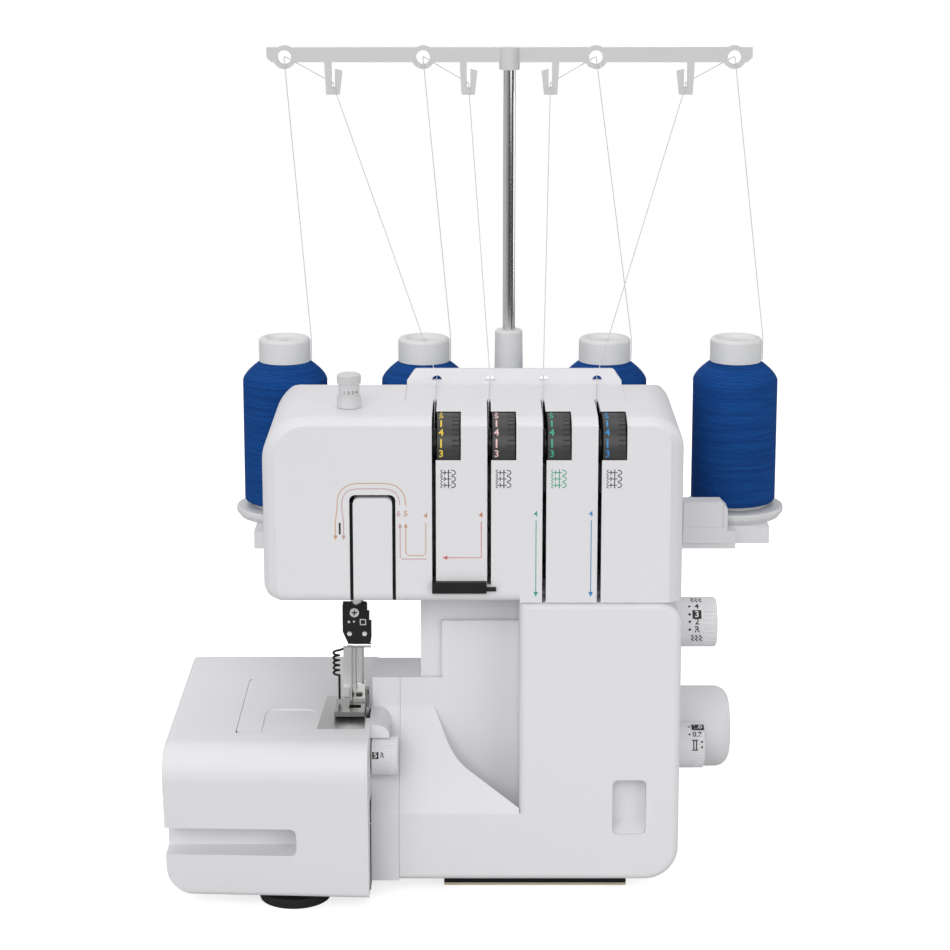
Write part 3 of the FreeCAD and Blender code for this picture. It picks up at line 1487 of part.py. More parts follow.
def belt_loop(grow, span):
    """Loop round both pulleys: two discs and the straight runs that touch them."""
    low = PULLEY_RADIUS + grow
    high = MOTOR_PULLEY_RADIUS + grow
    height = MOTOR_RISE - SHAFT_RISE
    lean = (low - high) / height
    side = math.sqrt(1 - lean * lean)
    points = [
        (SHAFT_BACK - low * side, SHAFT_RISE + low * lean),
        (SHAFT_BACK + low * side, SHAFT_RISE + low * lean),
        (SHAFT_BACK + high * side, MOTOR_RISE + high * lean),
        (SHAFT_BACK - high * side, MOTOR_RISE + high * lean),
    ]
    length = span[1] - span[0]
    discs = [rod("X", (span[0], SHAFT_BACK, SHAFT_RISE), length, low),
             rod("X", (span[0], SHAFT_BACK, MOTOR_RISE), length, high)]
    return fuse([prism("YZ", points, span)] + discs)


def drive_belt():
    start = PULLEY_X + (PULLEY_WIDTH - BELT_WIDTH) / 2
    span = (start, start + BELT_WIDTH)
    wide = (start - WALL, start + BELT_WIDTH + WALL)
    return belt_loop(BELT_THICKNESS, span).cut(belt_loop(RUNNING, wide))


# Frame casting and base
def lever_bracket():
    """Two cheeks from the beam back to the lever's pivot."""
    x, y, z = lever_place()
    half = LEVER_WIDTH / 2 + SEAT
    cheeks = []
    for start in (x - half - LEVER_WIDTH / 2, x + half):
        side = (start, start + LEVER_WIDTH / 2)
        cheeks.append(box(side, (FRAME_FRONT, y + LEVER_RADIUS), (z - LEVER_RADIUS, FRAME_TOP)))
    return cheeks


def bar_lug(z):
    sides = (NEEDLE_X - LUG_HALF, NEEDLE_X + LUG_HALF)
    return box(sides, (TAKEUP_DEPTH, FRAME_FRONT + BEAM_DEPTH), (z, z + LUG_HEIGHT))


def hinge_ear(x):
    low = GROUND_GAP + WALL + SEAT
    arm = box((x, x + EAR_WIDTH), (HINGE_BACK, FRAME_FRONT), (low, HINGE_Z + EAR_RADIUS))
    return arm.fuse(rod("X", (x, HINGE_BACK, HINGE_Z), EAR_WIDTH, EAR_RADIUS))


def frame_casting():
    back = FRAME_FRONT + FRAME_DEPTH
    floor_top = FRAME_FLOOR + FRAME_PLATE
    right = PLATE_B + FRAME_PLATE
    pieces = [box((FAIRING_RIGHT, right), (FRAME_FRONT - 2 * FRAME_PLATE, back), (FRAME_FLOOR, floor_top))]
    for x in (PLATE_A, PLATE_B):
        pieces.append(box((x, x + FRAME_PLATE), (FRAME_FRONT, back), (FRAME_FLOOR, FRAME_TOP)))
    beam = (FRAME_FRONT, FRAME_FRONT + BEAM_DEPTH)
    pieces.append(box((HEAD_LEFT + 4 * WALL, right), beam, (FRAME_TOP - BEAM_HEIGHT, FRAME_TOP)))
    pieces.append(box((NEEDLE_X - LUG_HALF, NEEDLE_X + LUG_HALF), beam, (LUG_LOW, FRAME_TOP)))
    pieces += [bar_lug(LUG_LOW), bar_lug(LUG_HIGH)] + lever_bracket() + [hinge_ear(x) for x in ear_xs()]
    holes = [hinge_rod(FIT)]
    for x in (PLATE_A, PLATE_B):
        bore = SHAFT_RADIUS + RUNNING + BUSH_WALL + FIT
        holes.append(rod("X", (x - WALL, SHAFT_BACK, SHAFT_RISE), FRAME_PLATE + 2 * WALL, bore))
    holes.append(rod("X", (PLATE_B - WALL, SHAFT_BACK, MOTOR_RISE), 4 * WALL, 2 * MOTOR_SHAFT_RADIUS))
    for x, y, radius in bush_places():
        bore = radius + RUNNING + BUSH_WALL + FIT
        holes.append(rod("Z", (x, y, LUG_LOW - WALL), FRAME_TOP - LUG_LOW + 2 * WALL, bore))
    x, y, z = lever_place()
    holes.append(rod("X", (x - 2 * LEVER_WIDTH, y, z), 4 * LEVER_WIDTH, LEVER_RADIUS / 2 + FIT))
    return fuse(pieces).cut(holes)


def base_plate():
    low = GROUND_GAP - BASE_PLATE
    back = FRAME_FRONT + FRAME_DEPTH
    right = box((BASE_LEFT, BODY_RIGHT - BASE_RADIUS), (SPLIT_DEPTH + WALL, back), (low, GROUND_GAP))
    left = box((ARM_BED_LEFT, BASE_LEFT), (ARM_BED_FRONT, ARM_BED_BACK), (low, GROUND_GAP))
    return fuse([right, left])


def foot_places():
    left = ARM_BED_LEFT + ARM_BED_LENGTH * FOOT_PAD_SHARE
    right = BODY_RIGHT - BASE_RADIUS - FOOT_PAD_RADIUS
    back = FRAME_FRONT + FRAME_DEPTH - FOOT_PAD_RADIUS
    return [(left, 0), (left, ARM_BED_BACK - FOOT_PAD_RADIUS), (right, back)]


def rubber_feet():
    top = GROUND_GAP - BASE_PLATE
    feet = []
    for place in foot_places():
        feet.append(turned("Z", place, [
            (0, 0),
            (0, FOOT_PAD_RADIUS - top / 3),
            (top, FOOT_PAD_RADIUS),
            (top, 0),
        ]))
    return group(feet)


def rest_outline():
    right = BODY_RIGHT - BASE_RADIUS - REST_DEPTH
    return right - REST_WIDTH, right


def front_rest():
    """Strip under the front cover, on two arms from the base plate."""
    left, right = rest_outline()
    low = REST_SOLE
    back = FRAME_FRONT
    pieces = [box((left, right), (REST_FRONT, REST_FRONT + REST_DEPTH), (low, REST_HEIGHT))]
    for x in (left, right - REST_DEPTH):
        sides = (x, x + REST_DEPTH)
        pieces.append(box(sides, (REST_FRONT, back), (low, REST_HEIGHT)))
        pieces.append(box(sides, (back - REST_DEPTH, back), (low, GROUND_GAP - BASE_PLATE)))
    return fuse(pieces)


def front_rest_sole():
    left, right = rest_outline()
    return box((left, right), (REST_FRONT, REST_FRONT + REST_DEPTH), (0, REST_SOLE))


def power_inlet():
    y, z = socket_place()
    half = SOCKET_WIDTH / 2 - WALL
    well = box((BODY_RIGHT - 3 * WALL, BODY_RIGHT + WALL), (y - half, y + half),
               (z - SOCKET_HEIGHT / 2 + WALL, z + SOCKET_HEIGHT / 2 - WALL))
    prongs = []
    for side in (-half / 2, half / 2):
        prongs.append(rod("X", (BODY_RIGHT - 3 * WALL, y + side, z), 2 * WALL, WALL / 2))
    return fuse([socket_block(0).cut(well)] + prongs)


def power_switch():
    """Rocker with two sloping faces."""
    y, z = switch_place()
    half = SWITCH_HEIGHT / 2
    inner = BODY_RIGHT - 2 * WALL + SEAT
    points = [
        (inner, z - half),
        (BODY_RIGHT + WALL / 2, z - half),
        (BODY_RIGHT, z),
        (BODY_RIGHT + WALL / 2, z + half),
        (inner, z + half),
    ]
    return prism("XZ", points, (y - SWITCH_WIDTH / 2, y + SWITCH_WIDTH / 2))


# Spool stand, cones and thread tree
def stand_bracket():
    """Upright block on the right wing, with a sunk panel in its upper front."""
    left = BODY_RIGHT + BRACKET_LEFT
    right = left + BRACKET_WIDTH
    low = STAND_RISE + BRACKET_RISE
    top = low + BRACKET_HEIGHT
    corner = BRACKET_RISE
    points = [(left, low), (right, low), (right, top - corner), (right - corner, top), (left, top)]
    block = prism("XZ", points, (WING_FRONT - WALL, BODY_DEPTH))
    panel = box((left + WALL, right - WALL), (WING_FRONT - 2 * WALL, WING_FRONT - WALL / 2),
                (low + BRACKET_PANEL, top + WALL))
    return block.cut(panel)


def spool_stand():
    rail_left = TREE_X - STAND_LEFT
    rail_right_end = TREE_X + STAND_RIGHT
    corner = STAND_HEIGHT
    rail = [
        (rail_left, BODY_DEPTH),
        (rail_right_end, BODY_DEPTH),
        (rail_right_end, STAND_BACK, corner),
        (rail_left, STAND_BACK, corner),
    ]
    span = (STAND_RISE, STAND_TOP)
    pieces = [prism("XY", rail, span)]
    beside = BODY_RIGHT + 2 * SEAT
    pieces.append(box((beside, BODY_RIGHT + WING_WIDTH), (WING_FRONT, BODY_DEPTH), span))
    pieces.append(box((rail_left, HEAD_LEFT - 2 * SEAT), (WING_FRONT, BODY_DEPTH), span))
    pieces.append(stand_bracket())
    holes = [rod("Z", (x, SPOOL_BACK, STAND_RISE + STAND_HEIGHT / 2), STAND_HEIGHT, PIN_RADIUS + FIT)
             for x in CONE_XS]
    return fuse(pieces).cut(holes)


def spool_discs():
    discs = []
    for x in CONE_XS:
        discs.append(turned("Z", (x, SPOOL_BACK), [
            (STAND_TOP, PIN_RADIUS + FIT),
            (STAND_TOP, TRAY_RADIUS - TRAY_LIP),
            (STAND_TOP + TRAY_HEIGHT / 2, TRAY_RADIUS, TRAY_LIP / 2),
            (STAND_TOP + TRAY_HEIGHT, TRAY_RADIUS, TRAY_LIP / 2),
            (STAND_TOP + TRAY_HEIGHT, PIN_RADIUS + FIT),
        ]))
    return discs


def spool_seats():
    """Discs under the cones, each with its pin."""
    start = STAND_RISE + STAND_HEIGHT / 2
    pins = [rod("Z", (x, SPOOL_BACK, start), PIN_LENGTH, PIN_RADIUS) for x in CONE_XS]
    return group(spool_discs() + pins)


def cone_core(x):
    """Tube with a base flange and a wide cap with a shallow well."""
    top = CONE_BASE + CONE_HEIGHT
    bore = PIN_RADIUS + SEAT
    cap = top - CAP_HEIGHT
    return turned("Z", (x, SPOOL_BACK), [
        (CONE_BASE, bore),
        (CONE_BASE, CONE_RADIUS * 0.8),
        (CONE_BASE + TRAY_LIP, CONE_RADIUS * 0.8),
        (CONE_BASE + TRAY_LIP, CORE_RADIUS),
        (cap, CORE_RADIUS),
        (cap, CAP_RADIUS),
        (top, CAP_RADIUS, TRAY_LIP),
        (top, CORE_RADIUS, TRAY_LIP / 4),
        (top - TRAY_LIP, CORE_RADIUS - TRAY_LIP),
        (top - TRAY_LIP, bore),
    ])


def cone_thread(x):
    """Wound thread, straight below and sloping in to the cap above."""
    low = CONE_BASE + TRAY_LIP + FIT
    top = CONE_BASE + CONE_HEIGHT - CAP_HEIGHT - FIT
    inner = CORE_RADIUS + FIT
    return turned("Z", (x, SPOOL_BACK), [
        (low, inner),
        (low, CONE_RADIUS, TRAY_LIP),
        (top - SHOULDER_HEIGHT, CONE_RADIUS, TRAY_LIP),
        (top, CAP_RADIUS - 2 * SEAT, SEAT),
        (top, inner),
    ])


def tree_socket():
    floor = STAND_TOP + POLE_RADIUS
    bore = POLE_RADIUS + RUNNING
    return turned("Z", (TREE_X, TREE_BACK), [
        (STAND_TOP, 0),
        (STAND_TOP, SOCKET_RADIUS + SOCKET_TAPER),
        (SOCKET_RISE, SOCKET_RADIUS, SOCKET_TAPER),
        (SOCKET_RISE, bore),
        (floor, bore),
        (floor, 0),
    ])


def tree_pole():
    start = SOCKET_RISE - POLE_GRIP
    top = TREE_TOP - EYE_WALL
    return ring("Z", (TREE_X, TREE_BACK, start), top - start, POLE_RADIUS, POLE_RADIUS * 0.75)


def bar_hook(x, side):
    """Hanging hook with a slot that opens at its top on one side."""
    half = HOOK_WIDTH / 2
    gap = HOOK_SLOT / 2
    low = BAR_BOTTOM - HOOK_LENGTH
    mouth = BAR_BOTTOM - 2 * HOOK_SLOT
    points = [
        (x - side * half, BAR_BOTTOM + gap),
        (x - side * gap, BAR_BOTTOM + gap),
        (x - side * gap, low + 2 * HOOK_SLOT),
        (x + side * gap, low + 2 * HOOK_SLOT),
        (x + side * gap, mouth),
        (x + side * half, mouth - gap),
        (x + side * half * 0.7, low),
        (x - side * half * 0.8, low),
    ]
    return prism("XZ", points, bar_span())


def bar_span():
    return TREE_BACK - BAR_THICKNESS / 2, TREE_BACK + BAR_THICKNESS / 2


def guide_bar():
    front, back = bar_span()
    left = TREE_X - BAR_HALF
    right = TREE_X + BAR_HALF
    chamfer = BAR_HEIGHT / 3
    outline_points = [
        (left + chamfer, BAR_BOTTOM),
        (right - chamfer, BAR_BOTTOM),
        (right, BAR_BOTTOM + chamfer),
        (right, TREE_TOP),
        (left, TREE_TOP),
        (left, BAR_BOTTOM + chamfer),
    ]
    pieces = [prism("XZ", outline_points, (front, back))]
    pieces += [rod("Y", (x, front, EYE_Z), BAR_THICKNESS, EYE_RADIUS + EYE_WALL) for x in EYE_XS]
    pieces += [bar_hook(x, side) for x, side in zip(HOOK_XS, (1, 1, -1, -1))]
    boss = POLE_RADIUS + WALL
    pieces.append(rod("Z", (TREE_X, TREE_BACK, BAR_BOTTOM - BAR_HEIGHT / 2), BAR_HEIGHT * 1.5, boss))
    top = TREE_TOP - EYE_WALL
    cuts = [rod("Y", (x, front - WALL, EYE_Z), BAR_THICKNESS + 2 * WALL, EYE_RADIUS) for x in EYE_XS]
    low = BAR_BOTTOM - BAR_HEIGHT
    cuts.append(rod("Z", (TREE_X, TREE_BACK, low), top - low, POLE_RADIUS + FIT))
    return fuse(pieces).cut(cuts)


def thread_route(i):
    """Cone shoulder, cap, eye, hook, top guide, slot and discs, in the order the thread runs."""
    behind = TREE_BACK + BAR_THICKNESS
    before = TREE_BACK - BAR_THICKNESS
    hook_z = BAR_BOTTOM - HOOK_LENGTH + 3 * HOOK_SLOT
    eye_z = BODY_TOP + TAB_EYE / 2
    side = CONE_XS[i] + CAP_RADIUS + 2 * SEAT
    cone_top = CONE_BASE + CONE_HEIGHT
    rim = DISC_RADIUS * 0.8
    return [
        vec(side, SPOOL_BACK, cone_top - CAP_HEIGHT + SEAT),
        vec(side, SPOOL_BACK, cone_top),
        vec(EYE_XS[i], before, EYE_Z),
        vec(EYE_XS[i], behind, EYE_Z),
        vec(HOOK_XS[i], behind, hook_z),
        vec(HOOK_XS[i], before, hook_z),
        vec(TAB_XS[i], TAB_Y + TAB_THICKNESS + WALL, eye_z),
        vec(TAB_XS[i], TAB_Y - WALL, eye_z),
        vec(SLOT_XS[i], SLOT_REACH - WALL, BODY_TOP - TOP_RECESS + SEAT + THREAD_RADIUS),
        vec(SLOT_XS[i], DIAL_Y + rim, DIAL_Z + rim),
    ]


def thread(i):
    """One thread: straight runs with a small arc round each guide."""
    points = thread_route(i)
    edges = []
    start = points[0]
    for before, at, after in zip(points, points[1:], points[2:]):
        back = (before - at).normalize()
        ahead = (after - at).normalize()
        half = back.getAngle(ahead) / 2
        run = THREAD_BEND / math.tan(half)
        inward = (back + ahead).normalize()
        middle = at + inward * (THREAD_BEND / math.sin(half) - THREAD_BEND)
        edges.append(Part.LineSegment(start, at + back * run).toShape())
        edges.append(Part.Arc(at + back * run, middle, at + ahead * run).toShape())
        start = at + ahead * run
    edges.append(Part.LineSegment(start, points[-1]).toShape())
    circle = Part.makeCircle(THREAD_RADIUS, points[0], points[1] - points[0])
    return Part.Wire(edges).makePipeShell([Part.Wire(circle)], True, False)


def threads():
    return group([thread(i) for i in range(len(CONE_XS))])


# All pieces by name
def build():
    nodes = {
        "front_casing": front_casing(),
        "rear_casing": rear_casing(),
        "takeup_cover": takeup_cover(),
        "top_thread_guide": top_thread_guide(),
        "thread_guide_box": thread_guide_box(),
        "front_cover": front_cover(),
        "cover_hinge_rod": hinge_rod(0),
        "side_fairing": side_fairing(),
        "free_arm": free_arm(),
        "needle_plate": needle_plate(),
        "feed_dogs": feed_dogs(),
        "bed_supports": bed_supports(),
        "extension_table": extension_table(),
        "needle_bar": needle_bar(),
        "needle_clamp": needle_clamp(),
        "clamp_screws": clamp_screws(),
        "presser_bar": presser_bar(),
        "presser_foot": presser_foot(),
        "presser_lever": presser_lever(),
        "bushes": bushes(),
        "upper_knife": upper_knife(),
        "lower_knife": lower_knife(),
        "upper_looper": looper(LOOPER_XS[0]),
        "lower_looper": looper(LOOPER_XS[1]),
        "pivot_pins": pivot_pins(),
        "tension_units": tension_units(),
        "pressure_knob": pressure_knob(),
        "stitch_length_dial": stitch_length_dial(),
        "differential_dial": differential_dial(),
        "cutting_width_knob": cutting_width_knob(),
        "main_shaft": main_shaft(),
        "handwheel": handwheel(),
        "motor": motor(),
        "motor_pulley": motor_pulley(),
        "drive_belt": drive_belt(),
        "frame_casting": frame_casting(),
        "base_plate": base_plate(),
        "rubber_feet": rubber_feet(),
        "front_rest": front_rest(),
        "front_rest_sole": front_rest_sole(),
        "power_inlet": power_inlet(),
        "power_switch": power_switch(),
        "spool_stand": spool_stand(),
        "spool_seats": spool_seats(),
        "tree_socket": tree_socket(),
        "tree_pole": tree_pole(),
        "guide_bar": guide_bar(),
        "threads": threads(),
    }
    for i, x in enumerate(SLOT_XS):
        nodes["tension_dial_%d" % (i + 1)] = tension_dial(x)
    for i, x in enumerate(CONE_XS):
        nodes["cone_%d_core" % (i + 1)] = cone_core(x)
        nodes["cone_%d_thread" % (i + 1)] = cone_thread(x)
    return nodes


def centre_of(nodes):
    """Middle of the whole box on the floor, which becomes the origin."""
    bounds = [shape.optimalBoundingBox(False, False) for shape in nodes.values()]
    x = (min(b.XMin for b in bounds) + max(b.XMax for b in bounds)) / 2
    y = (min(b.YMin for b in bounds) + max(b.YMax for b in bounds)) / 2
    return vec(x, y, min(b.ZMin for b in bounds))


NODES = build()
ORIGIN = centre_of(NODES)
os.makedirs("parts", exist_ok=True)
for name, shape in NODES.items():
    shape.translated(-ORIGIN).exportStep("parts/%s.step" % name)
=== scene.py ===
import bpy
import json
import math
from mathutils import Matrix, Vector

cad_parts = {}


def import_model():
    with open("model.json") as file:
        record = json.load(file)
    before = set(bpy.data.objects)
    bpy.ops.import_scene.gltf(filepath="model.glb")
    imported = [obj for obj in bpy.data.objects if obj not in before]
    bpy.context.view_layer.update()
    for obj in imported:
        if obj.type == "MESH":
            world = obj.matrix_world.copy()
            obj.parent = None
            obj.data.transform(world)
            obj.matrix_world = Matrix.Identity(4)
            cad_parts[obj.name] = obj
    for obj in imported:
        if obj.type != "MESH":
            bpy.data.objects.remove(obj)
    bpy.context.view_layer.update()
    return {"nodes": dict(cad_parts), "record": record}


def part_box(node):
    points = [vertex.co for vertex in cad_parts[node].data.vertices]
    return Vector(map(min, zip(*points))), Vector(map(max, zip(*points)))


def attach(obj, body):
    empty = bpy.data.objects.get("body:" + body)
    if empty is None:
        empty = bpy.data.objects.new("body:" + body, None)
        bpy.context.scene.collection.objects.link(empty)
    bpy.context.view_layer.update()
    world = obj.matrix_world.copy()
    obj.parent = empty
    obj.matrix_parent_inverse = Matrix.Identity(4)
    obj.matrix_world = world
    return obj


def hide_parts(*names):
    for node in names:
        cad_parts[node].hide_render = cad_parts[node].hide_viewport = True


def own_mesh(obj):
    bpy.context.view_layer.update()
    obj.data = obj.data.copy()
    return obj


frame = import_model()
NODES = frame["nodes"]

# Machine millimetres: X 0 is the body's middle, Y 0 its front and Z 0 the floor
BODY_RIGHT = 120.5
LOW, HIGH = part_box("front_casing")
SHIFT = Vector((HIGH.x - BODY_RIGHT / 1000, LOW.y, 0))


def mm(x, y, z):
    """Frame metres of a point in machine millimetres."""
    return SHIFT + Vector((x, y, z)) / 1000


def span(node):
    """Lowest corner, highest corner and middle of a node in machine millimetres."""
    low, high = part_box(node)
    low = (Vector(low) - SHIFT) * 1000
    high = (Vector(high) - SHIFT) * 1000
    return low, high, (low + high) / 2


# Shader groups
def shader_group(name, inputs, outputs):
    """An empty node group with float, colour or vector sockets, and its two end nodes."""
    tree = bpy.data.node_groups.new(name, "ShaderNodeTree")
    kinds = {"f": "NodeSocketFloat", "c": "NodeSocketColor", "v": "NodeSocketVector"}
    for label, kind in inputs:
        tree.interface.new_socket(label, in_out="INPUT", socket_type=kinds[kind])
    for label, kind in outputs:
        tree.interface.new_socket(label, in_out="OUTPUT", socket_type=kinds[kind])
    return tree, tree.nodes.new("NodeGroupInput").outputs, tree.nodes.new("NodeGroupOutput").inputs


def add(tree, kind, links=(), **values):
    """A node with its settings; links are (socket, output) pairs and other values go to sockets by name."""
    node = tree.nodes.new("ShaderNode" + kind)
    for key, value in values.items():
        if hasattr(node, key):
            setattr(node, key, value)
        else:
            node.inputs[key.replace("_", " ")].default_value = value
    for socket, output in links:
        tree.links.new(output, node.inputs[socket])
    return node


def grain_group():
    """Fine moulded texture: a height, a small change of roughness and a slow change of tone."""
    tree, given, made = shader_group(
        "moulded_grain",
        [("Vector", "v"), ("Color", "c"), ("Roughness", "f"), ("Scale", "f"), ("Tone", "f")],
        [("Color", "c"), ("Roughness", "f"), ("Height", "f")])
    fine = add(tree, "TexNoise", [("Vector", given["Vector"]), ("Scale", given["Scale"])], Detail=3.0)
    slow = add(tree, "TexNoise", [("Vector", given["Vector"])], Scale=14.0, Detail=4.0)
    shade = add(tree, "Math", [(0, slow.outputs["Fac"]), (1, given["Tone"])], operation="MULTIPLY")
    keep = add(tree, "Math", [(1, shade.outputs[0])], operation="SUBTRACT")
    keep.inputs[0].default_value = 1.0
    tint = add(tree, "VectorMath", [(0, given["Color"]), ("Scale", keep.outputs[0])], operation="SCALE")
    wide = add(tree, "MapRange", [("Value", slow.outputs["Fac"])], To_Min=-0.04, To_Max=0.06)
    rough = add(tree, "Math", [(0, given["Roughness"]), (1, wide.outputs[0])], operation="ADD")
    tree.links.new(tint.outputs[0], made["Color"])
    tree.links.new(rough.outputs[0], made["Roughness"])
    tree.links.new(fine.outputs["Fac"], made["Height"])
    return tree


def brushed_group():
    """Lines drawn out along one axis, as on ground or drawn metal."""
    tree, given, made = shader_group(
        "drawn_lines",
        [("Vector", "v"), ("Color", "c"), ("Roughness", "f"), ("Stretch", "v")],
        [("Color", "c"), ("Roughness", "f"), ("Height", "f")])
    drawn = add(tree, "VectorMath", [(0, given["Vector"]), (1, given["Stretch"])], operation="MULTIPLY")
    lines = add(tree, "TexNoise", [("Vector", drawn.outputs[0])], Scale=1.0, Detail=5.0)
    light = add(tree, "MapRange", [("Value", lines.outputs["Fac"])], To_Min=0.86, To_Max=1.06)
    tint = add(tree, "VectorMath", [(0, given["Color"]), ("Scale", light.outputs[0])], operation="SCALE")
    wide = add(tree, "MapRange", [("Value", lines.outputs["Fac"])], To_Min=-0.06, To_Max=0.1)
    rough = add(tree, "Math", [(0, given["Roughness"]), (1, wide.outputs[0])], operation="ADD")
    tree.links.new(tint.outputs[0], made["Color"])
    tree.links.new(rough.outputs[0], made["Roughness"])
    tree.links.new(lines.outputs["Fac"], made["Height"])
    return tree


def winding_group():
    """Crossing turns of wound thread, with a painted sheen: some turns take the lighter blue, a lit copy of
    the darker one.
    """
    tree, given, made = shader_group(
        "wound_turns", [("Vector", "v"), ("Dark", "c"), ("Light", "c")], [("Color", "c"), ("Height", "f")])
    turns = add(tree, "TexWave", [("Vector", given["Vector"])], wave_type="BANDS", bands_direction="Z",
                Scale=420.0, Distortion=2.6, Detail=2.0, Detail_Scale=3.0)
    flat = add(tree, "VectorMath", [(0, given["Vector"])], operation="MULTIPLY")
    flat.inputs[1].default_value = (26, 26, 700)
    streaks = add(tree, "TexNoise", [("Vector", flat.outputs[0])], Scale=1.0, Detail=4.0)
    both = add(tree, "Math", [(0, turns.outputs["Fac"]), (1, streaks.outputs["Fac"])], operation="MULTIPLY")
    share = add(tree, "MapRange", [("Value", both.outputs[0])], From_Min=0.0, From_Max=0.65)
    tint = add(tree, "Mix", [("Factor", share.outputs[0])], data_type="RGBA")
    tree.links.new(given["Dark"], tint.inputs[6])
    tree.links.new(given["Light"], tint.inputs[7])
    tree.links.new(tint.outputs[2], made["Color"])
    tree.links.new(both.outputs[0], made["Height"])
    return tree


GRAIN = grain_group()
BRUSHED = brushed_group()
WINDING = winding_group()


# Materials
def material(name, group, sockets, bump, distance=0.0002, **surface):
    """A Principled material whose colour, roughness and bump come from a shared group."""
    made = bpy.data.materials.new(name)
    made.use_nodes = True
    tree = made.node_tree
    shader = tree.nodes["Principled BSDF"]
    place = tree.nodes.new("ShaderNodeTexCoord")
    effect = add(tree, "Group", [("Vector", place.outputs["Object"])], node_tree=group, **sockets)
    relief = add(tree, "Bump", [("Height", effect.outputs["Height"])], Strength=bump, Distance=distance)
    tree.links.new(relief.outputs["Normal"], shader.inputs["Normal"])
    tree.links.new(effect.outputs["Color"], shader.inputs["Base Color"])
    if "Roughness" in effect.outputs:
        tree.links.new(effect.outputs["Roughness"], shader.inputs["Roughness"])
    for key, value in surface.items():
        shader.inputs[key.replace("_", " ")].default_value = value
    return made


def plastic(name, colour, roughness, tone=0.03, bump=0.05, scale=900.0, **surface):
    """A moulded or painted surface with a fine grain."""
    sockets = {"Color": colour + (1,), "Roughness": roughness, "Tone": tone, "Scale": scale}
    return material(name, GRAIN, sockets, bump, **surface)


def metal(name, colour, roughness, stretch, bump=0.05):
    """A bare metal whose lines are drawn out by stretch."""
    sockets = {"Color": colour + (1,), "Roughness": roughness, "Stretch": stretch}
    return material(name, BRUSHED, sockets, bump, Metallic=1.0)


def ink(name, colour):
    """A matt print."""
    return plastic("ink_" + name, colour, 0.5, 0.1)


WHITE = plastic("white_plastic", (0.79, 0.785, 0.805), 0.5, Specular_IOR_Level=0.35)
SOFT_WHITE = plastic("stand_white", (0.66, 0.66, 0.67), 0.4)
CONE_WHITE = plastic("cone_white", (0.72, 0.725, 0.73), 0.45)
BLACK = plastic("black_plastic", (0.01, 0.01, 0.009), 0.5, 0.3, 0.1, Specular_IOR_Level=0.3)
DIAL = plastic("dial_plastic", (0.04, 0.042, 0.04), 0.42, 0.2, 0.1)
RUBBER = plastic("foot_rubber", (0.012, 0.012, 0.013), 0.7, 0.4, 0.2, 500.0)
GREY = plastic("grey_paint", (0.2, 0.205, 0.215), 0.45, 0.15)
CHROME = metal("bright_steel", (0.7, 0.7, 0.69), 0.13, (300, 300, 20))
NICKEL = metal("satin_nickel", (0.86, 0.86, 0.84), 0.36, (300, 300, 300))
STEEL = metal("ground_steel", (0.42, 0.42, 0.42), 0.26, (400, 30, 400), 0.1)
DARK_STEEL = metal("dark_steel", (0.24, 0.24, 0.23), 0.24, (200, 40, 200), 0.1)
# Near-black steel, given to the tension units so that the slots beside the dials read black
SLOT_BLACK_STEEL = metal("slot_black_steel", (0.05, 0.05, 0.05), 0.4, (200, 40, 200))
PLATE_STEEL = metal("plate_steel", (0.6, 0.6, 0.59), 0.4, (500, 25, 400), 0.1)
CAST = plastic("cast_metal", (0.45, 0.455, 0.46), 0.5, 0.15, 0.3, 1500.0, Metallic=0.9)
GOLD = plastic("tan_sole", (0.7, 0.6, 0.44), 0.5, 0.2, 0.1)
# The thread's Light blue is a lit copy of its Dark blue; the lighter turns are painted sheen
BLUE = material("blue_thread", WINDING, {"Dark": (0.006, 0.028, 0.13, 1), "Light": (0.014, 0.11, 0.41, 1)},
                0.35, Roughness=0.85, Specular_IOR_Level=0.05)
PALE_THREAD = plastic("thread_line", (0.7, 0.71, 0.73), 0.6, 0.2)
INK_COLOURS = {
    "orange": (0.66, 0.38, 0.19), "purple": (0.62, 0.38, 0.42), "red": (0.68, 0.2, 0.16),
    "green": (0.05, 0.42, 0.28), "blue": (0.04, 0.26, 0.6), "yellow": (0.85, 0.6, 0.06),
    "pink": (0.85, 0.58, 0.55), "grey": (0.04, 0.04, 0.045), "black": (0.015, 0.015, 0.016),
    "white": (0.8, 0.8, 0.8),
}
INK = {name: ink(name, colour) for name, colour in INK_COLOURS.items()}

SLOT_LOOKS = {
    "white_plastic": WHITE, "cone_plastic": CONE_WHITE, "black_plastic": BLACK, "dial_plastic": DIAL,
    "bright_steel": CHROME, "plain_steel": STEEL, "cast_metal": CAST, "grey_metal": GREY,
    "foot_rubber": RUBBER, "gold_metal": GOLD, "blue_thread": BLUE,
}
NODE_LOOKS = {
    "guide_bar": SOFT_WHITE, "tree_socket": CONE_WHITE, "pressure_knob": SOFT_WHITE,
    "tension_units": SLOT_BLACK_STEEL, "presser_foot": DARK_STEEL, "needle_plate": PLATE_STEEL,
    "clamp_screws": NICKEL,
}


def dress_nodes():
    """Gives each CAD node its look: its own, or the one of its material slot."""
    for part in frame["record"]["subparts"]:
        mesh = NODES[part["node"]].data
        mesh.materials.clear()
        mesh.materials.append(NODE_LOOKS.get(part["node"], SLOT_LOOKS[part["material_slot"]]))


# Meshes
def mesh_of(points, faces):
    """A mesh from points in frame metres and faces."""
    mesh = bpy.data.meshes.new("mesh")
    mesh.from_pydata([tuple(p) for p in points], [], faces)
    mesh.update()
    return mesh


def piece(name, mesh, look, body, smooth=False):
    """A mesh in frame metres that rides a body."""
    mesh.name = name
    mesh.polygons.foreach_set("use_smooth", [smooth] * len(mesh.polygons))
    mesh.materials.clear()
    mesh.materials.append(look)
    made = bpy.data.objects.new(name, mesh)
    bpy.context.scene.collection.objects.link(made)
    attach(made, body)
    return made


def joined(parts):
    """One list of points and one of faces from several."""
    points, faces = [], []
    for more, shells in parts:
        faces += [tuple(v + len(points) for v in face) for face in shells]
        points += more
    return points, faces


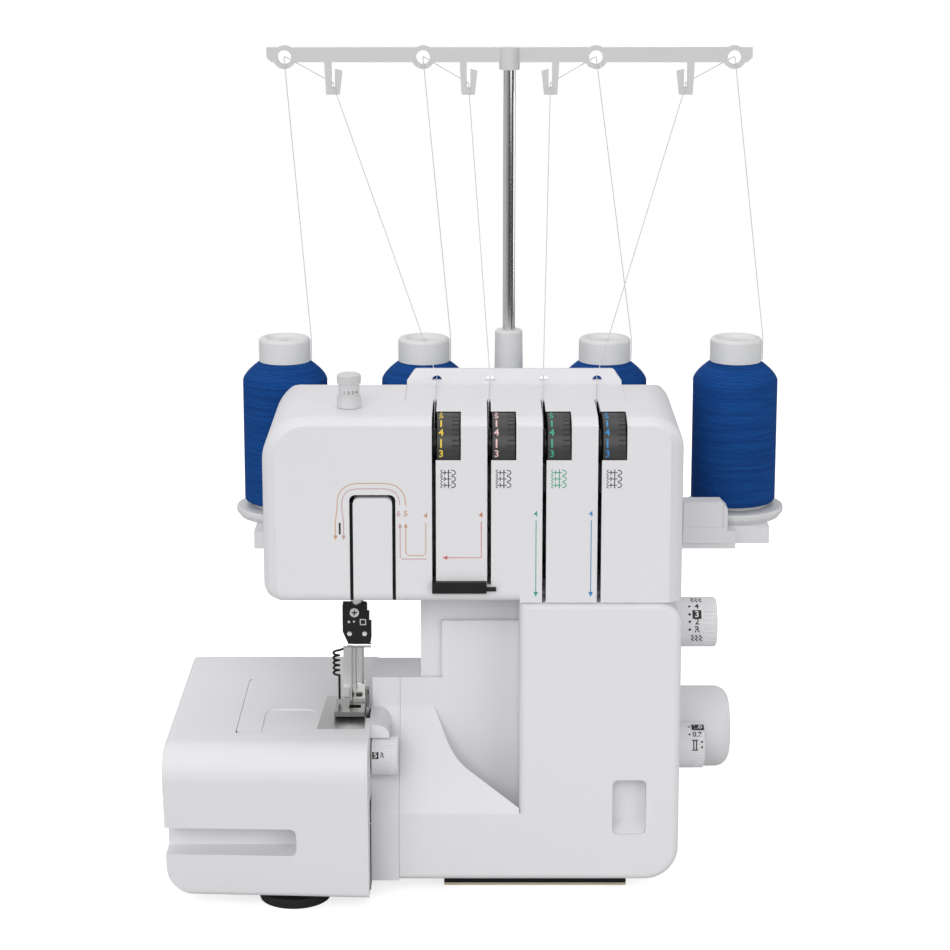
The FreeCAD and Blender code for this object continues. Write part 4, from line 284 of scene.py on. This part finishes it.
def curve_mesh(curve):
    """The mesh of a curve or text, which is then deleted."""
    made = bpy.data.objects.new("curve", curve)
    bpy.context.scene.collection.objects.link(made)
    bpy.context.view_layer.update()
    mesh = bpy.data.meshes.new_from_object(made.evaluated_get(bpy.context.evaluated_depsgraph_get()))
    bpy.data.objects.remove(made)
    return mesh


def wires(routes, radius, slack=2.0):
    """Round wires along routes of millimetre points, straight but for a small bend at each point."""
    curve = bpy.data.curves.new("wires", "CURVE")
    curve.dimensions = "3D"
    curve.bevel_depth = radius / 1000
    curve.bevel_resolution = 2
    curve.resolution_u = 5
    curve.use_fill_caps = True
    for route in routes:
        route = [Vector(point) for point in route]
        controls = [route[0]]
        for before, at, after in zip(route, route[1:], route[2:]):
            controls += [at + (before - at).normalized() * slack, at, at + (after - at).normalized() * slack]
        controls.append(route[-1])
        spline = curve.splines.new("NURBS")
        spline.points.add(len(controls) - 1)
        for point, at in zip(spline.points, controls):
            point.co = (*mm(*at), 1)
        spline.use_endpoint_u = True
        spline.order_u = 3
    return curve_mesh(curve)


def upright(centre):
    """Places turned points about a vertical line."""
    return lambda across, aside, height: (centre[0] + across, centre[1] + aside, height)


def facing(x, y, z):
    """Places turned points about a line towards the front, with height measured out from the face."""
    return lambda across, aside, height: (x + across, y - height, z + aside)


def turned(profile, place, sides, ripple=None, start=0.0):
    """Points and faces turned about a line; profile is (radius, height) pairs."""
    points, faces = [], []
    for radius, height in profile:
        for k in range(sides):
            turn = start + 2 * math.pi * k / sides
            r = radius + (ripple(height, turn) if ripple else 0)
            points.append(mm(*place(r * math.cos(turn), r * math.sin(turn), height)))
    for i in range(len(profile) - 1):
        for k in range(sides):
            n = (k + 1) % sides
            faces.append((i * sides + k, i * sides + n, (i + 1) * sides + n, (i + 1) * sides + k))
    return points, faces


# Stage
LIGHT_FROM = (-0.8, 0.15, 0.58)
DIM_SIDE, LIT_SIDE = -0.3, 0.7
DIM_LIGHT, FULL_LIGHT = 0.08, 0.64
FLOOR_SIDE, FLOOR_FRONT, FLOOR_BACK = 1.0, -0.8, 1.4
FLOOR_GREY, FLOOR_GLOW = 0.62, 0.74
LAMP_AIM = (0, 0, 0.2)
LAMPS = (
    ("key", (-0.6, -2.3, 1.4), (2.0, 1.4), 29),
    ("fill", (1.3, -2.0, 0.9), (1.4, 1.4), 14),
    ("top", (0.0, 0.2, 2.2), (1.6, 1.6), 10),
    ("back", (-0.5, 1.8, 0.9), (1.4, 1.4), 3),
    ("side", (1.6, 0.6, 0.6), (1.2, 1.2), 8),
)
CAMERA_AT = (0, -1392, 609)
CAMERA_DOWN = 12
CAMERA_LENS, CAMERA_SENSOR, CAMERA_SHIFT = 94.74, 36, -0.10


def world():
    """White to the camera; light from the upper left for everything else, so that metal has dark sides."""
    made = bpy.data.worlds.new("studio")
    bpy.context.scene.world = made
    made.use_nodes = True
    tree = made.node_tree
    sky = tree.nodes.new("ShaderNodeTexCoord")
    side = add(tree, "VectorMath", [(0, sky.outputs["Generated"])], operation="DOT_PRODUCT")
    side.inputs[1].default_value = LIGHT_FROM
    strength = add(tree, "MapRange", [("Value", side.outputs["Value"])],
                   From_Min=DIM_SIDE, From_Max=LIT_SIDE, To_Min=DIM_LIGHT, To_Max=FULL_LIGHT)
    light = tree.nodes["Background"]
    light.inputs["Color"].default_value = (1, 0.99, 1, 1)
    tree.links.new(strength.outputs[0], light.inputs["Strength"])
    white = add(tree, "Background", Color=(1, 1, 1, 1), Strength=1.0)
    ray = tree.nodes.new("ShaderNodeLightPath")
    seen = add(tree, "Math", [(0, ray.outputs["Is Camera Ray"]), (1, ray.outputs["Is Transmission Ray"])],
               operation="MAXIMUM")
    mix = add(tree, "MixShader", [(0, seen.outputs[0]), (1, light.outputs[0]), (2, white.outputs[0])])
    tree.links.new(mix.outputs[0], tree.nodes["World Output"].inputs["Surface"])


def floor():
    """A pale floor that the camera sees as white, with the object's shadow on it."""
    corners = [(-FLOOR_SIDE, FLOOR_FRONT, 0), (FLOOR_SIDE, FLOOR_FRONT, 0),
               (FLOOR_SIDE, FLOOR_BACK, 0), (-FLOOR_SIDE, FLOOR_BACK, 0)]
    mesh = mesh_of(corners, [(0, 1, 2, 3)])
    made = bpy.data.materials.new("floor_white")
    made.use_nodes = True
    tree = made.node_tree
    shader = tree.nodes["Principled BSDF"]
    shader.inputs["Base Color"].default_value = (FLOOR_GREY, FLOOR_GREY, FLOOR_GREY, 1)
    shader.inputs["Roughness"].default_value = 0.9
    shader.inputs["Specular IOR Level"].default_value = 0.0
    shader.inputs["Emission Color"].default_value = (1, 1, 1, 1)
    ray = tree.nodes.new("ShaderNodeLightPath")
    glow = add(tree, "Math", [(0, ray.outputs["Is Camera Ray"])], operation="MULTIPLY")
    glow.inputs[1].default_value = FLOOR_GLOW
    tree.links.new(glow.outputs[0], shader.inputs["Emission Strength"])
    mesh.materials.append(made)
    ground = bpy.data.objects.new("floor", mesh)
    bpy.context.scene.collection.objects.link(ground)


def lamp(name, place, size, power):
    """A soft rectangular lamp that faces the object."""
    data = bpy.data.lights.new(name, "AREA")
    data.shape = "RECTANGLE"
    data.size, data.size_y = size
    data.energy = power
    made = bpy.data.objects.new(name, data)
    bpy.context.scene.collection.objects.link(made)
    made.location = place
    made.rotation_euler = (Vector(LAMP_AIM) - Vector(place)).to_track_quat("-Z", "Y").to_euler()


def camera():
    """The camera of the photograph."""
    data = bpy.data.cameras.new("camera")
    data.lens = CAMERA_LENS
    data.sensor_width = CAMERA_SENSOR
    data.shift_y = CAMERA_SHIFT
    made = bpy.data.objects.new("camera", data)
    bpy.context.scene.collection.objects.link(made)
    made.location = mm(*CAMERA_AT)
    made.rotation_euler = (math.radians(90 - CAMERA_DOWN), 0, 0)
    bpy.context.scene.camera = made


# Wound cones
NECK_RADIUS = 15.6
BORE_RADIUS = 12.2
SHOULDER = 12.5
SHOULDER_CURVE = 1.6
HEEL = 2.5
THREAD_RISE = 0.06
UP_PITCH, DOWN_PITCH = 0.95, 1.15
CONE_PHASE = 1.3
WINDING_STEPS, WINDING_SIDES = 260, 128


def winding_profile(low, top, radius):
    """Outline of the wound thread: a rounded heel, straight sides and a falling shoulder."""
    rows = []
    for i in range(WINDING_STEPS + 1):
        z = low + (top - low) * i / WINDING_STEPS
        r = radius
        if z < low + HEEL:
            r -= HEEL * (1 - math.sqrt(max(0, 1 - (1 - (z - low) / HEEL) ** 2)))
        elif z > top - SHOULDER:
            r -= (radius - NECK_RADIUS) * ((z - top + SHOULDER) / SHOULDER) ** SHOULDER_CURVE
        rows.append((r, z))
    return [(BORE_RADIUS, low)] + rows + [(BORE_RADIUS, top)]


def wound_ripple(phase):
    """Two crossing layers of turns, as a small change of radius."""
    def ripple(height, turn):
        up = math.sin(2 * math.pi * height / UP_PITCH + turn + phase)
        down = math.sin(2 * math.pi * height / DOWN_PITCH - turn + 2 * phase)
        return THREAD_RISE * (max(up, down) - 1)
    return ripple


def cones():
    """The wound thread on each cone."""
    for i in range(1, 5):
        low, high, middle = span("cone_%d_thread" % i)
        profile = winding_profile(low.z, high.z, (high.x - low.x) / 2)
        mesh = mesh_of(*turned(profile, upright(middle), WINDING_SIDES, wound_ripple(CONE_PHASE * i)))
        wound = piece("winding_%d" % i, mesh, BLUE, "cone_%d" % i, True)
        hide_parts("cone_%d_thread" % i)


# Threads from the cones to the top guide
TREE_X = span("tree_pole")[2].x
EYE_SIDES = (-139.0, -53.4, 53.4, 139.0)
HOOK_SIDES = (-109.0, -25.3, 25.3, 109.0)
DIAL_INSET = 1.9
CAP_SIDE = 16.8
EYE_Z, HOOK_Z = 483.05, 466.6
GUIDE_Z = 291.5
LINE_RADIUS = 0.26
CAP_START, CAP_RISE = 0.4, 15.1
BAR_FRONT, BAR_BACK = 156.0, 164.0
TAB_BACK, TAB_FRONT = 111.5, 103.5
TAB_LEAD, TAB_PITCH = 0.35, 32.7
LIP_Y, LIP_Z = 55.5, 289.6
SLOT_Y, SLOT_Z = 26.2, 278.2
SLOT_XS = [span("tension_dial_%d" % i)[0].x - DIAL_INSET for i in range(1, 5)]
TAB_XS = [SLOT_XS[0] + TAB_LEAD + TAB_PITCH * i for i in range(4)]


def threads():
    """Each thread runs up its cone's cap, rises to an eye, crosses to a hook and falls to the top guide."""
    ends, rises, bridges, falls = [], [], [], []
    for i in range(4):
        core = span("cone_%d_thread" % (i + 1))
        side, back, top = core[2].x + CAP_SIDE, core[2].y, core[1].z
        eye, hook, tab, slot = TREE_X + EYE_SIDES[i], TREE_X + HOOK_SIDES[i], TAB_XS[i], SLOT_XS[i]
        brim = top + CAP_RISE
        ends.append([(side, back, top + CAP_START), (side, back, brim)])
        ends.append([(tab, TAB_BACK, GUIDE_Z), (tab, TAB_FRONT, GUIDE_Z), (slot, LIP_Y, LIP_Z),
                     (slot, SLOT_Y, SLOT_Z)])
        rises.append([(side, back, brim), (eye, BAR_FRONT, EYE_Z)])
        bridges.append([(eye, BAR_FRONT, EYE_Z), (eye, BAR_BACK, EYE_Z), (hook, BAR_BACK, HOOK_Z),
                        (hook, BAR_FRONT, HOOK_Z)])
        falls.append([(hook, BAR_FRONT, HOOK_Z), (tab, TAB_BACK, GUIDE_Z)])
    piece("thread_ends", wires(ends, LINE_RADIUS), PALE_THREAD, "body", True)
    piece("thread_bridges", wires(bridges, LINE_RADIUS), PALE_THREAD, "tree", True)
    rising = piece("thread_rises", wires(rises, LINE_RADIUS), PALE_THREAD, "body", True)
    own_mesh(rising)
    lines = piece("thread_lines", wires(falls, LINE_RADIUS), PALE_THREAD, "body", True)
    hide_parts("threads")
    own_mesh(lines)


# Prints
PRINT_LIFT = 0.06
ARROW_HALF = 0.45
LETTER_WEIGHT = 0.018
BEND_STEPS = 6
PLATE_STEPS = 6


def printed(name, parts, look, body, place):
    """A thin print; place turns a flat (a, b) point into millimetres."""
    points, faces = joined(parts)
    return piece(name, mesh_of([mm(*place(a, b)) for a, b in points], faces), INK[look], body)


def on_front(a, b):
    """Lays (x, z) on the front of the arm."""
    return a, -PRINT_LIFT, b


def on_roll(middle, radius, lift=PRINT_LIFT):
    """Wraps (x, degrees up from the front) round a roller that lies along X."""
    def place(a, b):
        turn = math.radians(b)
        out = radius + lift
        return a, middle.y - out * math.cos(turn), middle.z + out * math.sin(turn)
    return place


def on_post(middle, radius):
    """Wraps (degrees right of the front, z) round an upright post."""
    def place(a, b):
        turn = math.radians(a)
        out = radius + PRINT_LIFT
        return middle.x + out * math.sin(turn), middle.y - out * math.cos(turn), b
    return place


def stroke(path, width):
    """A flat ribbon along (a, b) points."""
    path = [Vector(p) for p in path]
    last = len(path) - 1
    points = []
    for i, at in enumerate(path):
        ahead = (path[min(i + 1, last)] - path[max(i - 1, 0)]).normalized()
        side = Vector((-ahead.y, ahead.x)) * width / 2
        points += [at + side, at - side]
    return points, [(2 * i, 2 * i + 1, 2 * i + 3, 2 * i + 2) for i in range(last)]


def scaled(part, across, up, centre):
    """A flat print stretched along both axes and moved."""
    points, faces = part
    return [Vector((p.x * across + centre[0], p.y * up + centre[1])) for p in points], faces


def arrow(tip, way, size):
    """A flat arrow head."""
    tip, way = Vector(tip), Vector(way).normalized()
    side = Vector((-way.y, way.x)) * size * ARROW_HALF
    return [tip, tip - way * size + side, tip - way * size - side], [(0, 1, 2)]


def letters(words, size, centre=(0, 0)):
    """Flat points and faces of plain text, centred and a little bold."""
    curve = bpy.data.curves.new("letters", "FONT")
    curve.body = words
    curve.size = size
    curve.offset = LETTER_WEIGHT * size
    curve.align_x = "CENTER"
    curve.align_y = "CENTER"
    mesh = curve_mesh(curve)
    points = [Vector((v.co.x + centre[0], v.co.y + centre[1])) for v in mesh.vertices]
    return points, [tuple(p.vertices) for p in mesh.polygons]


def bend(corner, start, end):
    """Points of a rounded corner between two straight runs."""
    corner, start, end = Vector(corner), Vector(start), Vector(end)
    shares = [k / BEND_STEPS for k in range(BEND_STEPS + 1)]
    return [corner + (start - corner) * (1 - t) ** 2 + (end - corner) * t ** 2 for t in shares]


LEG_LOW, LEG_BEND, LEG_TOP, RIGHT_LOW = 221.0, 229.7, 237.7, 239.5


def arch(left, right, foot, top, radius):
    """An arch with a bent left leg that stands on foot."""
    path = [(foot, LEG_LOW), (foot, LEG_BEND), (left, LEG_TOP)]
    path += bend((left, top), (left, top - radius), (left + radius, top))
    path += bend((right, top), (right - radius, top), (right, top - radius))
    return path + [(right, RIGHT_LOW)]


ROUTE_WIDTH, DASH_WIDTH = 0.5, 1.1
FIGURE = 4.6
SHORT_HEAD, HEAD, LONG_HEAD = 2.6, 2.8, 3.0
DOWN, UP, LEFT = (0, -1), (0, 1), (-1, 0)
ORANGE_ARCH = arch(-79.4, -39.9, -80.5, 252.4, 13.0)
ORANGE_CUP = [(-39.9, 226.5), (-39.9, 211.0), (-38.4, 209.4), (-30.0, 209.4), (-28.4, 211.0), (-28.4, 229.0)]
PURPLE_ARCH = arch(-76.7, -43.4, -75.8, 249.2, 9.5)
PURPLE_TURN = [(-43.2, 226.5), (-43.2, 208.6), (-42.0, 207.3), (-27.9, 207.3)]
RED_TURN = [(3.6, 229.7), (3.6, 208.1), (-16.8, 208.1)]
GREEN_LINE = [(35.2, 230.5), (35.2, 187.0)]
BLUE_LINE = [(67.0, 230.5), (67.0, 187.0)]
DASH = [(-78.0, 229.0), (-78.0, 222.1)]


def routes():
    """Coloured threading routes on the front."""
    drawn = {
        "orange": [stroke(ORANGE_ARCH, ROUTE_WIDTH), arrow((-80.5, 218.6), DOWN, HEAD),
                   stroke(ORANGE_CUP, ROUTE_WIDTH), arrow((-39.9, 228.8), UP, SHORT_HEAD),
                   letters("5", FIGURE, (-40.0, 234.3)), letters("4", FIGURE, (-28.4, 233.1))],
        "purple": [stroke(PURPLE_ARCH, ROUTE_WIDTH), arrow((-75.8, 218.6), DOWN, HEAD),
                   stroke(PURPLE_TURN, ROUTE_WIDTH), arrow((-43.2, 228.8), UP, SHORT_HEAD),
                   letters("6", FIGURE, (-44.0, 234.3))],
        "red": [stroke(RED_TURN, ROUTE_WIDTH), arrow((-18.9, 208.1), LEFT, HEAD),
                letters("4", FIGURE, (3.4, 233.5))],
        "green": [stroke(GREEN_LINE, ROUTE_WIDTH), arrow((35.2, 184.5), DOWN, LONG_HEAD),
                  letters("4", FIGURE, (35.0, 234.2))],
        "blue": [stroke(BLUE_LINE, ROUTE_WIDTH), arrow((67.0, 184.5), DOWN, LONG_HEAD),
                 letters("4", FIGURE, (66.8, 234.2))],
        "black": [stroke(DASH, DASH_WIDTH)],
    }
    for look, parts in drawn.items():
        printed("route_" + look, parts, look, "body", on_front)


ICON_LEFT, ICON_TOP, ICON_ROW = 4.0, 260.6, 3.7
ICON_ROWS = 3
ICON_LOOKS = ("grey", "grey", "green", "grey")
NEEDLE_LINE, NEEDLE_WIDTH = 4.6, 0.55
# Each row's lines, from the icon's left and the row's middle, with their widths
ROW_LOOP = [(6.3 + 2.3 * math.sin(math.pi * k / 6), 1.5 * math.cos(math.pi * k / 6)) for k in range(7)]
ROW_LINES = (
    (((1.1, 1.65), (0.0, 1.15), (0.9, 0.0), (0.0, -1.15), (1.1, -1.65)), 0.5),
    (((1.1, 0.0), (6.2, 0.0)), 0.45),
    (((2.2, 1.35), (2.8, 0.0), (2.2, -1.35)), 0.5),
    (ROW_LOOP, 0.55),
)


def stitch_icons():
    """Small pictures of the stitch below each dial: hooks, needle lines and loops."""
    for i, look in enumerate(ICON_LOOKS):
        left = SLOT_XS[i] + ICON_LEFT
        x = left + NEEDLE_LINE
        parts = [stroke([(x, ICON_TOP), (x, ICON_TOP - ICON_ROWS * ICON_ROW)], NEEDLE_WIDTH)]
        for row in range(ICON_ROWS):
            middle = ICON_TOP - ICON_ROW * (row + 0.5)
            parts += [stroke([(left + a, middle + b) for a, b in line], width) for line, width in ROW_LINES]
        printed("stitch_icon_%d" % (i + 1), parts, look, "body", on_front)


DIAL_STEP, DIAL_SHOWN, DIAL_UP = 38.5, 4, 34.3
DIAL_FIGURES = 8
DIAL_LOOKS = ("yellow", "pink", "green", "blue")
DIGIT_SIZE, DIGIT_INSET = 5.8, 2.45
BAR_STEP, BAR_WIDTH = 2.6, 1.0


def dial_marks():
    """Numbers and bars round each tension dial."""
    for i, look in enumerate(DIAL_LOOKS):
        low, high, middle = span("tension_dial_%d" % (i + 1))
        radius = (high.z - low.z) / 2
        x = low.x + DIGIT_INSET
        degrees = math.degrees(1 / radius)
        parts = []
        for n in range(DIAL_FIGURES):
            up = DIAL_UP + DIAL_STEP * (n - DIAL_SHOWN)
            parts.append(scaled(letters(str(n), DIGIT_SIZE), 1, degrees, (x, up)))
            if n < DIAL_FIGURES - 1:
                bar = up + DIAL_STEP / 2
                parts.append(stroke([(x, bar + BAR_STEP * k) for k in range(-3, 4)], BAR_WIDTH))
        printed("dial_marks_%d" % (i + 1), parts, look, "dial_%d" % (i + 1),
                on_roll(middle, radius))


def plate(x, up, width, height):
    """A filled plate of degrees on a roller, for a light figure."""
    return stroke([(x, up + height * (k / PLATE_STEPS - 0.5)) for k in range(PLATE_STEPS + 1)], width)


def side_marks(name, node, body, marks, figures, drawn=()):
    """Black marks on a roller, which are words, plates or drawn lines, and white figures over the plates."""
    low, high, middle = span(node)
    radius = (high.z - low.z) / 2
    degrees = math.degrees(1 / radius)

    def word(words, x, up, size):
        return scaled(letters(words, size), 1, degrees, (x, up))

    parts = [word(*mark) if isinstance(mark[0], str) else plate(*mark) for mark in marks]
    parts += drawn
    printed(name + "_marks", parts, "black", body, on_roll(middle, radius))
    light = [word(*figure) for figure in figures]
    printed(name + "_figure", light, "white", body, on_roll(middle, radius, 2 * PRINT_LIFT))


# Marks of the side dials: words are (words, x, degrees up, size), plates (x, degrees up, width, degrees high)
LENGTH_MARKS = [("4", 133.6, 54.7, 5.2), ("2", 133.5, 17.3, 5.2), ("R", 133.5, -1.0, 5.4),
                (133.5, 34.2, 5.4, 21.0)]
LENGTH_MARKS += [(129.1, up, 1.4, 5.0) for up in (54.7, 34.2, 17.3, -1.0)]
LENGTH_FIGURES = [("3", 133.5, 34.2, 5.4)]
WAVE_X, WAVE_PITCH, WAVE_SWING, WAVE_TURN = 133.4, 2.4, 0.7, 1.4
WAVE_RISE, WAVE_POINTS, WAVE_WIDTH = 2.1, 10, 0.9
WAVE_UPS = (78.0, -24.0)
FEED_MARKS = [(135.5, 71.0, 7.6, 22.0), ("0.7", 134.8, 46.7, 4.5), (133.4, 31.5, 3.6, 2.6),
              (133.4, 6.5, 3.6, 2.6), (132.6, 19.0, 0.7, 24.0), (134.3, 19.0, 0.7, 24.0)]
FEED_MARKS += [(130.2, up, 1.2, 4.4) for up in (71.0, 46.7)] + [(137.6, up, 1.2, 4.4) for up in (27.0, 14.0)]
FEED_FIGURES = [("1.0", 135.3, 71.0, 4.8)]
KNOB_UP, KNOB_FIGURE, KNOB_LETTER, KNOB_DOT = 20.0, 8.0, 11.9, 4.9


def waves():
    """Three wavy lines at the top and at the bottom of the stitch length dial's scale."""
    lines = []
    for up in WAVE_UPS:
        for k in (-1, 0, 1):
            path = [(WAVE_X + WAVE_PITCH * k + WAVE_SWING * math.sin(WAVE_TURN * n),
                     up + WAVE_RISE * (n - (WAVE_POINTS - 1) / 2)) for n in range(WAVE_POINTS)]
            lines.append(stroke(path, WAVE_WIDTH))
    return lines


def knob_marks():
    """Figures on the side dials and the cutting width knob."""
    side_marks("length", "stitch_length_dial", "stitch_length", LENGTH_MARKS, LENGTH_FIGURES, waves())
    side_marks("feed", "differential_dial", "differential", FEED_MARKS, FEED_FIGURES)
    left = span("cutting_width_knob")[0].x
    width = [(left + KNOB_FIGURE, KNOB_UP, 3.8, 21.0), ("R", left + KNOB_LETTER, KNOB_UP, 4.2),
             (left + KNOB_DOT, KNOB_UP, 0.9, 5.0)]
    figure = ("5", left + KNOB_FIGURE, KNOB_UP, 4.4)
    side_marks("width", "cutting_width_knob", "cutting_width", width, [figure])


PRESSURE_WAIST = 6.1
PRESSURE_STEP, PRESSURE_FIRST = 24.0, 2
PRESSURE_FIGURE, PRESSURE_FIGURE_DROP = 2.6, 10.4
PRESSURE_DOT, PRESSURE_DOT_HALF, PRESSURE_DOT_DROP = 0.6, 3.5, 13.6
PRESSURE_ARROW, PRESSURE_ARROW_SIDE = 1.0, 82.0


def pressure_marks():
    """Figures, dots and two arrows round the waist of the pressure knob."""
    high, middle = span("pressure_knob")[1:]
    degrees = math.degrees(1 / PRESSURE_WAIST)
    figures = high.z - PRESSURE_FIGURE_DROP
    dots = high.z - PRESSURE_DOT_DROP
    turns = [(str(n), PRESSURE_STEP * (n - PRESSURE_FIRST)) for n in range(1, 5)]
    parts = [scaled(letters(figure, PRESSURE_FIGURE), degrees, 1, (at, figures)) for figure, at in turns]
    parts += [stroke([(at - PRESSURE_DOT_HALF, dots), (at + PRESSURE_DOT_HALF, dots)], PRESSURE_DOT)
              for figure, at in turns]
    parts += [arrow((side * PRESSURE_ARROW_SIDE, dots), (side, 0), PRESSURE_ARROW) for side in (-1, 1)]
    printed("pressure_marks", parts, "grey", "pressure", on_post(middle, PRESSURE_WAIST))


# Painted shade in the take-up slot, and small fittings at the needle
# Painted shade strips: their depth behind the front, their lap past each slot leg and their thickness
SHADE_STRIP_DEPTH = 3.4
SHADE_STRIP_LAP = 2.6
SHADE_STRIP_WALL = 0.6
STRIP_FACES = [(0, 1, 5, 4), (1, 3, 7, 5), (3, 2, 6, 7), (2, 0, 4, 6), (0, 2, 3, 1), (4, 5, 7, 6)]


def slot_liners():
    """Black strips inside the casing, behind the two legs of the slot round the take-up cover: painted shade
    that keeps the slot dark.
    """
    low, high = span("takeup_cover")[:2]
    bottom, top = span("front_casing")[0].z + SHADE_STRIP_WALL, high.z - SHADE_STRIP_LAP
    parts = []
    for x in (low.x, high.x):
        corners = [(x + side * SHADE_STRIP_LAP, SHADE_STRIP_DEPTH + back * SHADE_STRIP_WALL, z)
                   for z in (bottom, top) for back in (0, 1) for side in (-1, 1)]
        parts.append(([mm(*corner) for corner in corners], STRIP_FACES))
    piece("slot_liners", mesh_of(*joined(parts)), BLACK, "body")


# Turned outlines as (radius, height), and their places from the clamp's edges and top
RIVET = [(0.8, 0.0), (0.8, 0.3), (0.5, 0.55), (0.02, 0.65)]
PIN = [(0.7, 0.0), (0.7, 1.0), (0.45, 1.3), (0.02, 1.4)]
SQUARE_EYE = [(2.6, 0.0), (2.6, 0.5), (1.8, 0.5), (1.8, 0.0)]
RIVET_IN, RIVET_DROP = 3.8, 10.0
PIN_IN, PIN_DROP = 6.8, 9.6
EYE_IN, EYE_DROP = 4.7, 10.0
ROUND_SIDES, SQUARE_SIDES = 16, 4
# Screws as (distance from the left edge, drop from the top, reach of the cross, height of the head)
SCREWS = ((7.1, 4.0, 1.7, 2.7), (13.0, 17.2, 0.9, 1.4))
CROSS_WIDTH = 0.7
STRIP_RADIUS, STRIP_DROP = 1.5, 1.6
STRIP_START, STRIP_BEND = 3.0, 8.0
STRIP_BACK, STRIP_FRONT = 1.6, 0.8


def screw_crosses(low, high):
    """Black crosses on the heads of two clamp screws, as painted shade in their cross recesses."""
    face = span("clamp_screws")[0].y + SCREWS[0][3]
    for i, (across, down, reach, out) in enumerate(SCREWS):
        x, z = low.x + across, high.z - down
        # Painted shade: a black cross where each screw head's recess would be
        cross = [stroke([(x - reach, z), (x + reach, z)], CROSS_WIDTH),
                 stroke([(x, z - reach), (x, z + reach)], CROSS_WIDTH)]
        printed("screw_cross_%d" % (i + 1), cross, "black", "needle",
                lambda a, b: (a, face - out - PRINT_LIFT, b))


def needle_fittings():
    """Rivet, thread pin, square eye, the painted shade of the screw crosses and guide strip on the front of
    the needle clamp.
    """
    low, high = span("needle_clamp")[:2]
    parts = [turned(RIVET, facing(low.x + RIVET_IN, low.y, high.z - RIVET_DROP), ROUND_SIDES),
             turned(PIN, facing(low.x + PIN_IN, low.y, high.z - PIN_DROP), ROUND_SIDES),
             turned(SQUARE_EYE, facing(high.x - EYE_IN, low.y, high.z - EYE_DROP), SQUARE_SIDES,
                    start=math.pi / 4)]
    piece("clamp_fittings", mesh_of(*joined(parts)), NICKEL, "needle")
    screw_crosses(low, high)
    z = low.z - STRIP_DROP
    strip = [(low.x + STRIP_START, low.y + STRIP_BACK, z), (low.x + STRIP_BEND, low.y + STRIP_FRONT, z),
             (high.x, low.y + STRIP_FRONT, z)]
    piece("needle_guide", wires([strip], STRIP_RADIUS), CHROME, "needle", True)


SPRING_X, SPRING_Y = -83.0, 37.0
SPRING_TOP, SPRING_LOW, WIRE_TIP = 140.0, 124.5, 109.5
SPRING_TURNS, SPRING_POINTS, SPRING_RADIUS = 5, 12, 1.7
SPRING_WIRE, SPRING_SLACK = 0.7, 0.2
ARM_REACH, ARM_RISE, WIRE_DROP = 2.5, 1.0, 2.5


def presser_spring():
    """The dark coil spring beside the presser foot's shank, and the thin wire that hangs from it."""
    coil = []
    count = SPRING_POINTS * SPRING_TURNS
    for k in range(count + 1):
        turn = 2 * math.pi * k / SPRING_POINTS
        drop = (SPRING_TOP - SPRING_LOW) * k / count
        coil.append((SPRING_X + SPRING_RADIUS * math.cos(turn), SPRING_Y + SPRING_RADIUS * math.sin(turn),
                     SPRING_TOP - drop))
    x = SPRING_X + SPRING_RADIUS
    arm = [(x + ARM_REACH, SPRING_Y, SPRING_TOP + ARM_RISE)]
    ends = [(x, SPRING_Y, SPRING_LOW - WIRE_DROP), (x, SPRING_Y, WIRE_TIP)]
    piece("presser_spring", wires([arm + coil + ends], SPRING_WIRE, SPRING_SLACK), BLACK, "presser",
          True)


dress_nodes()
world()
floor()
for facts in LAMPS:
    lamp(*facts)
camera()
cones()
threads()
routes()
stitch_icons()
dial_marks()
knob_marks()
pressure_marks()
slot_liners()
needle_fittings()
presser_spring()

bpy.context.scene.view_settings.view_transform = "Standard"
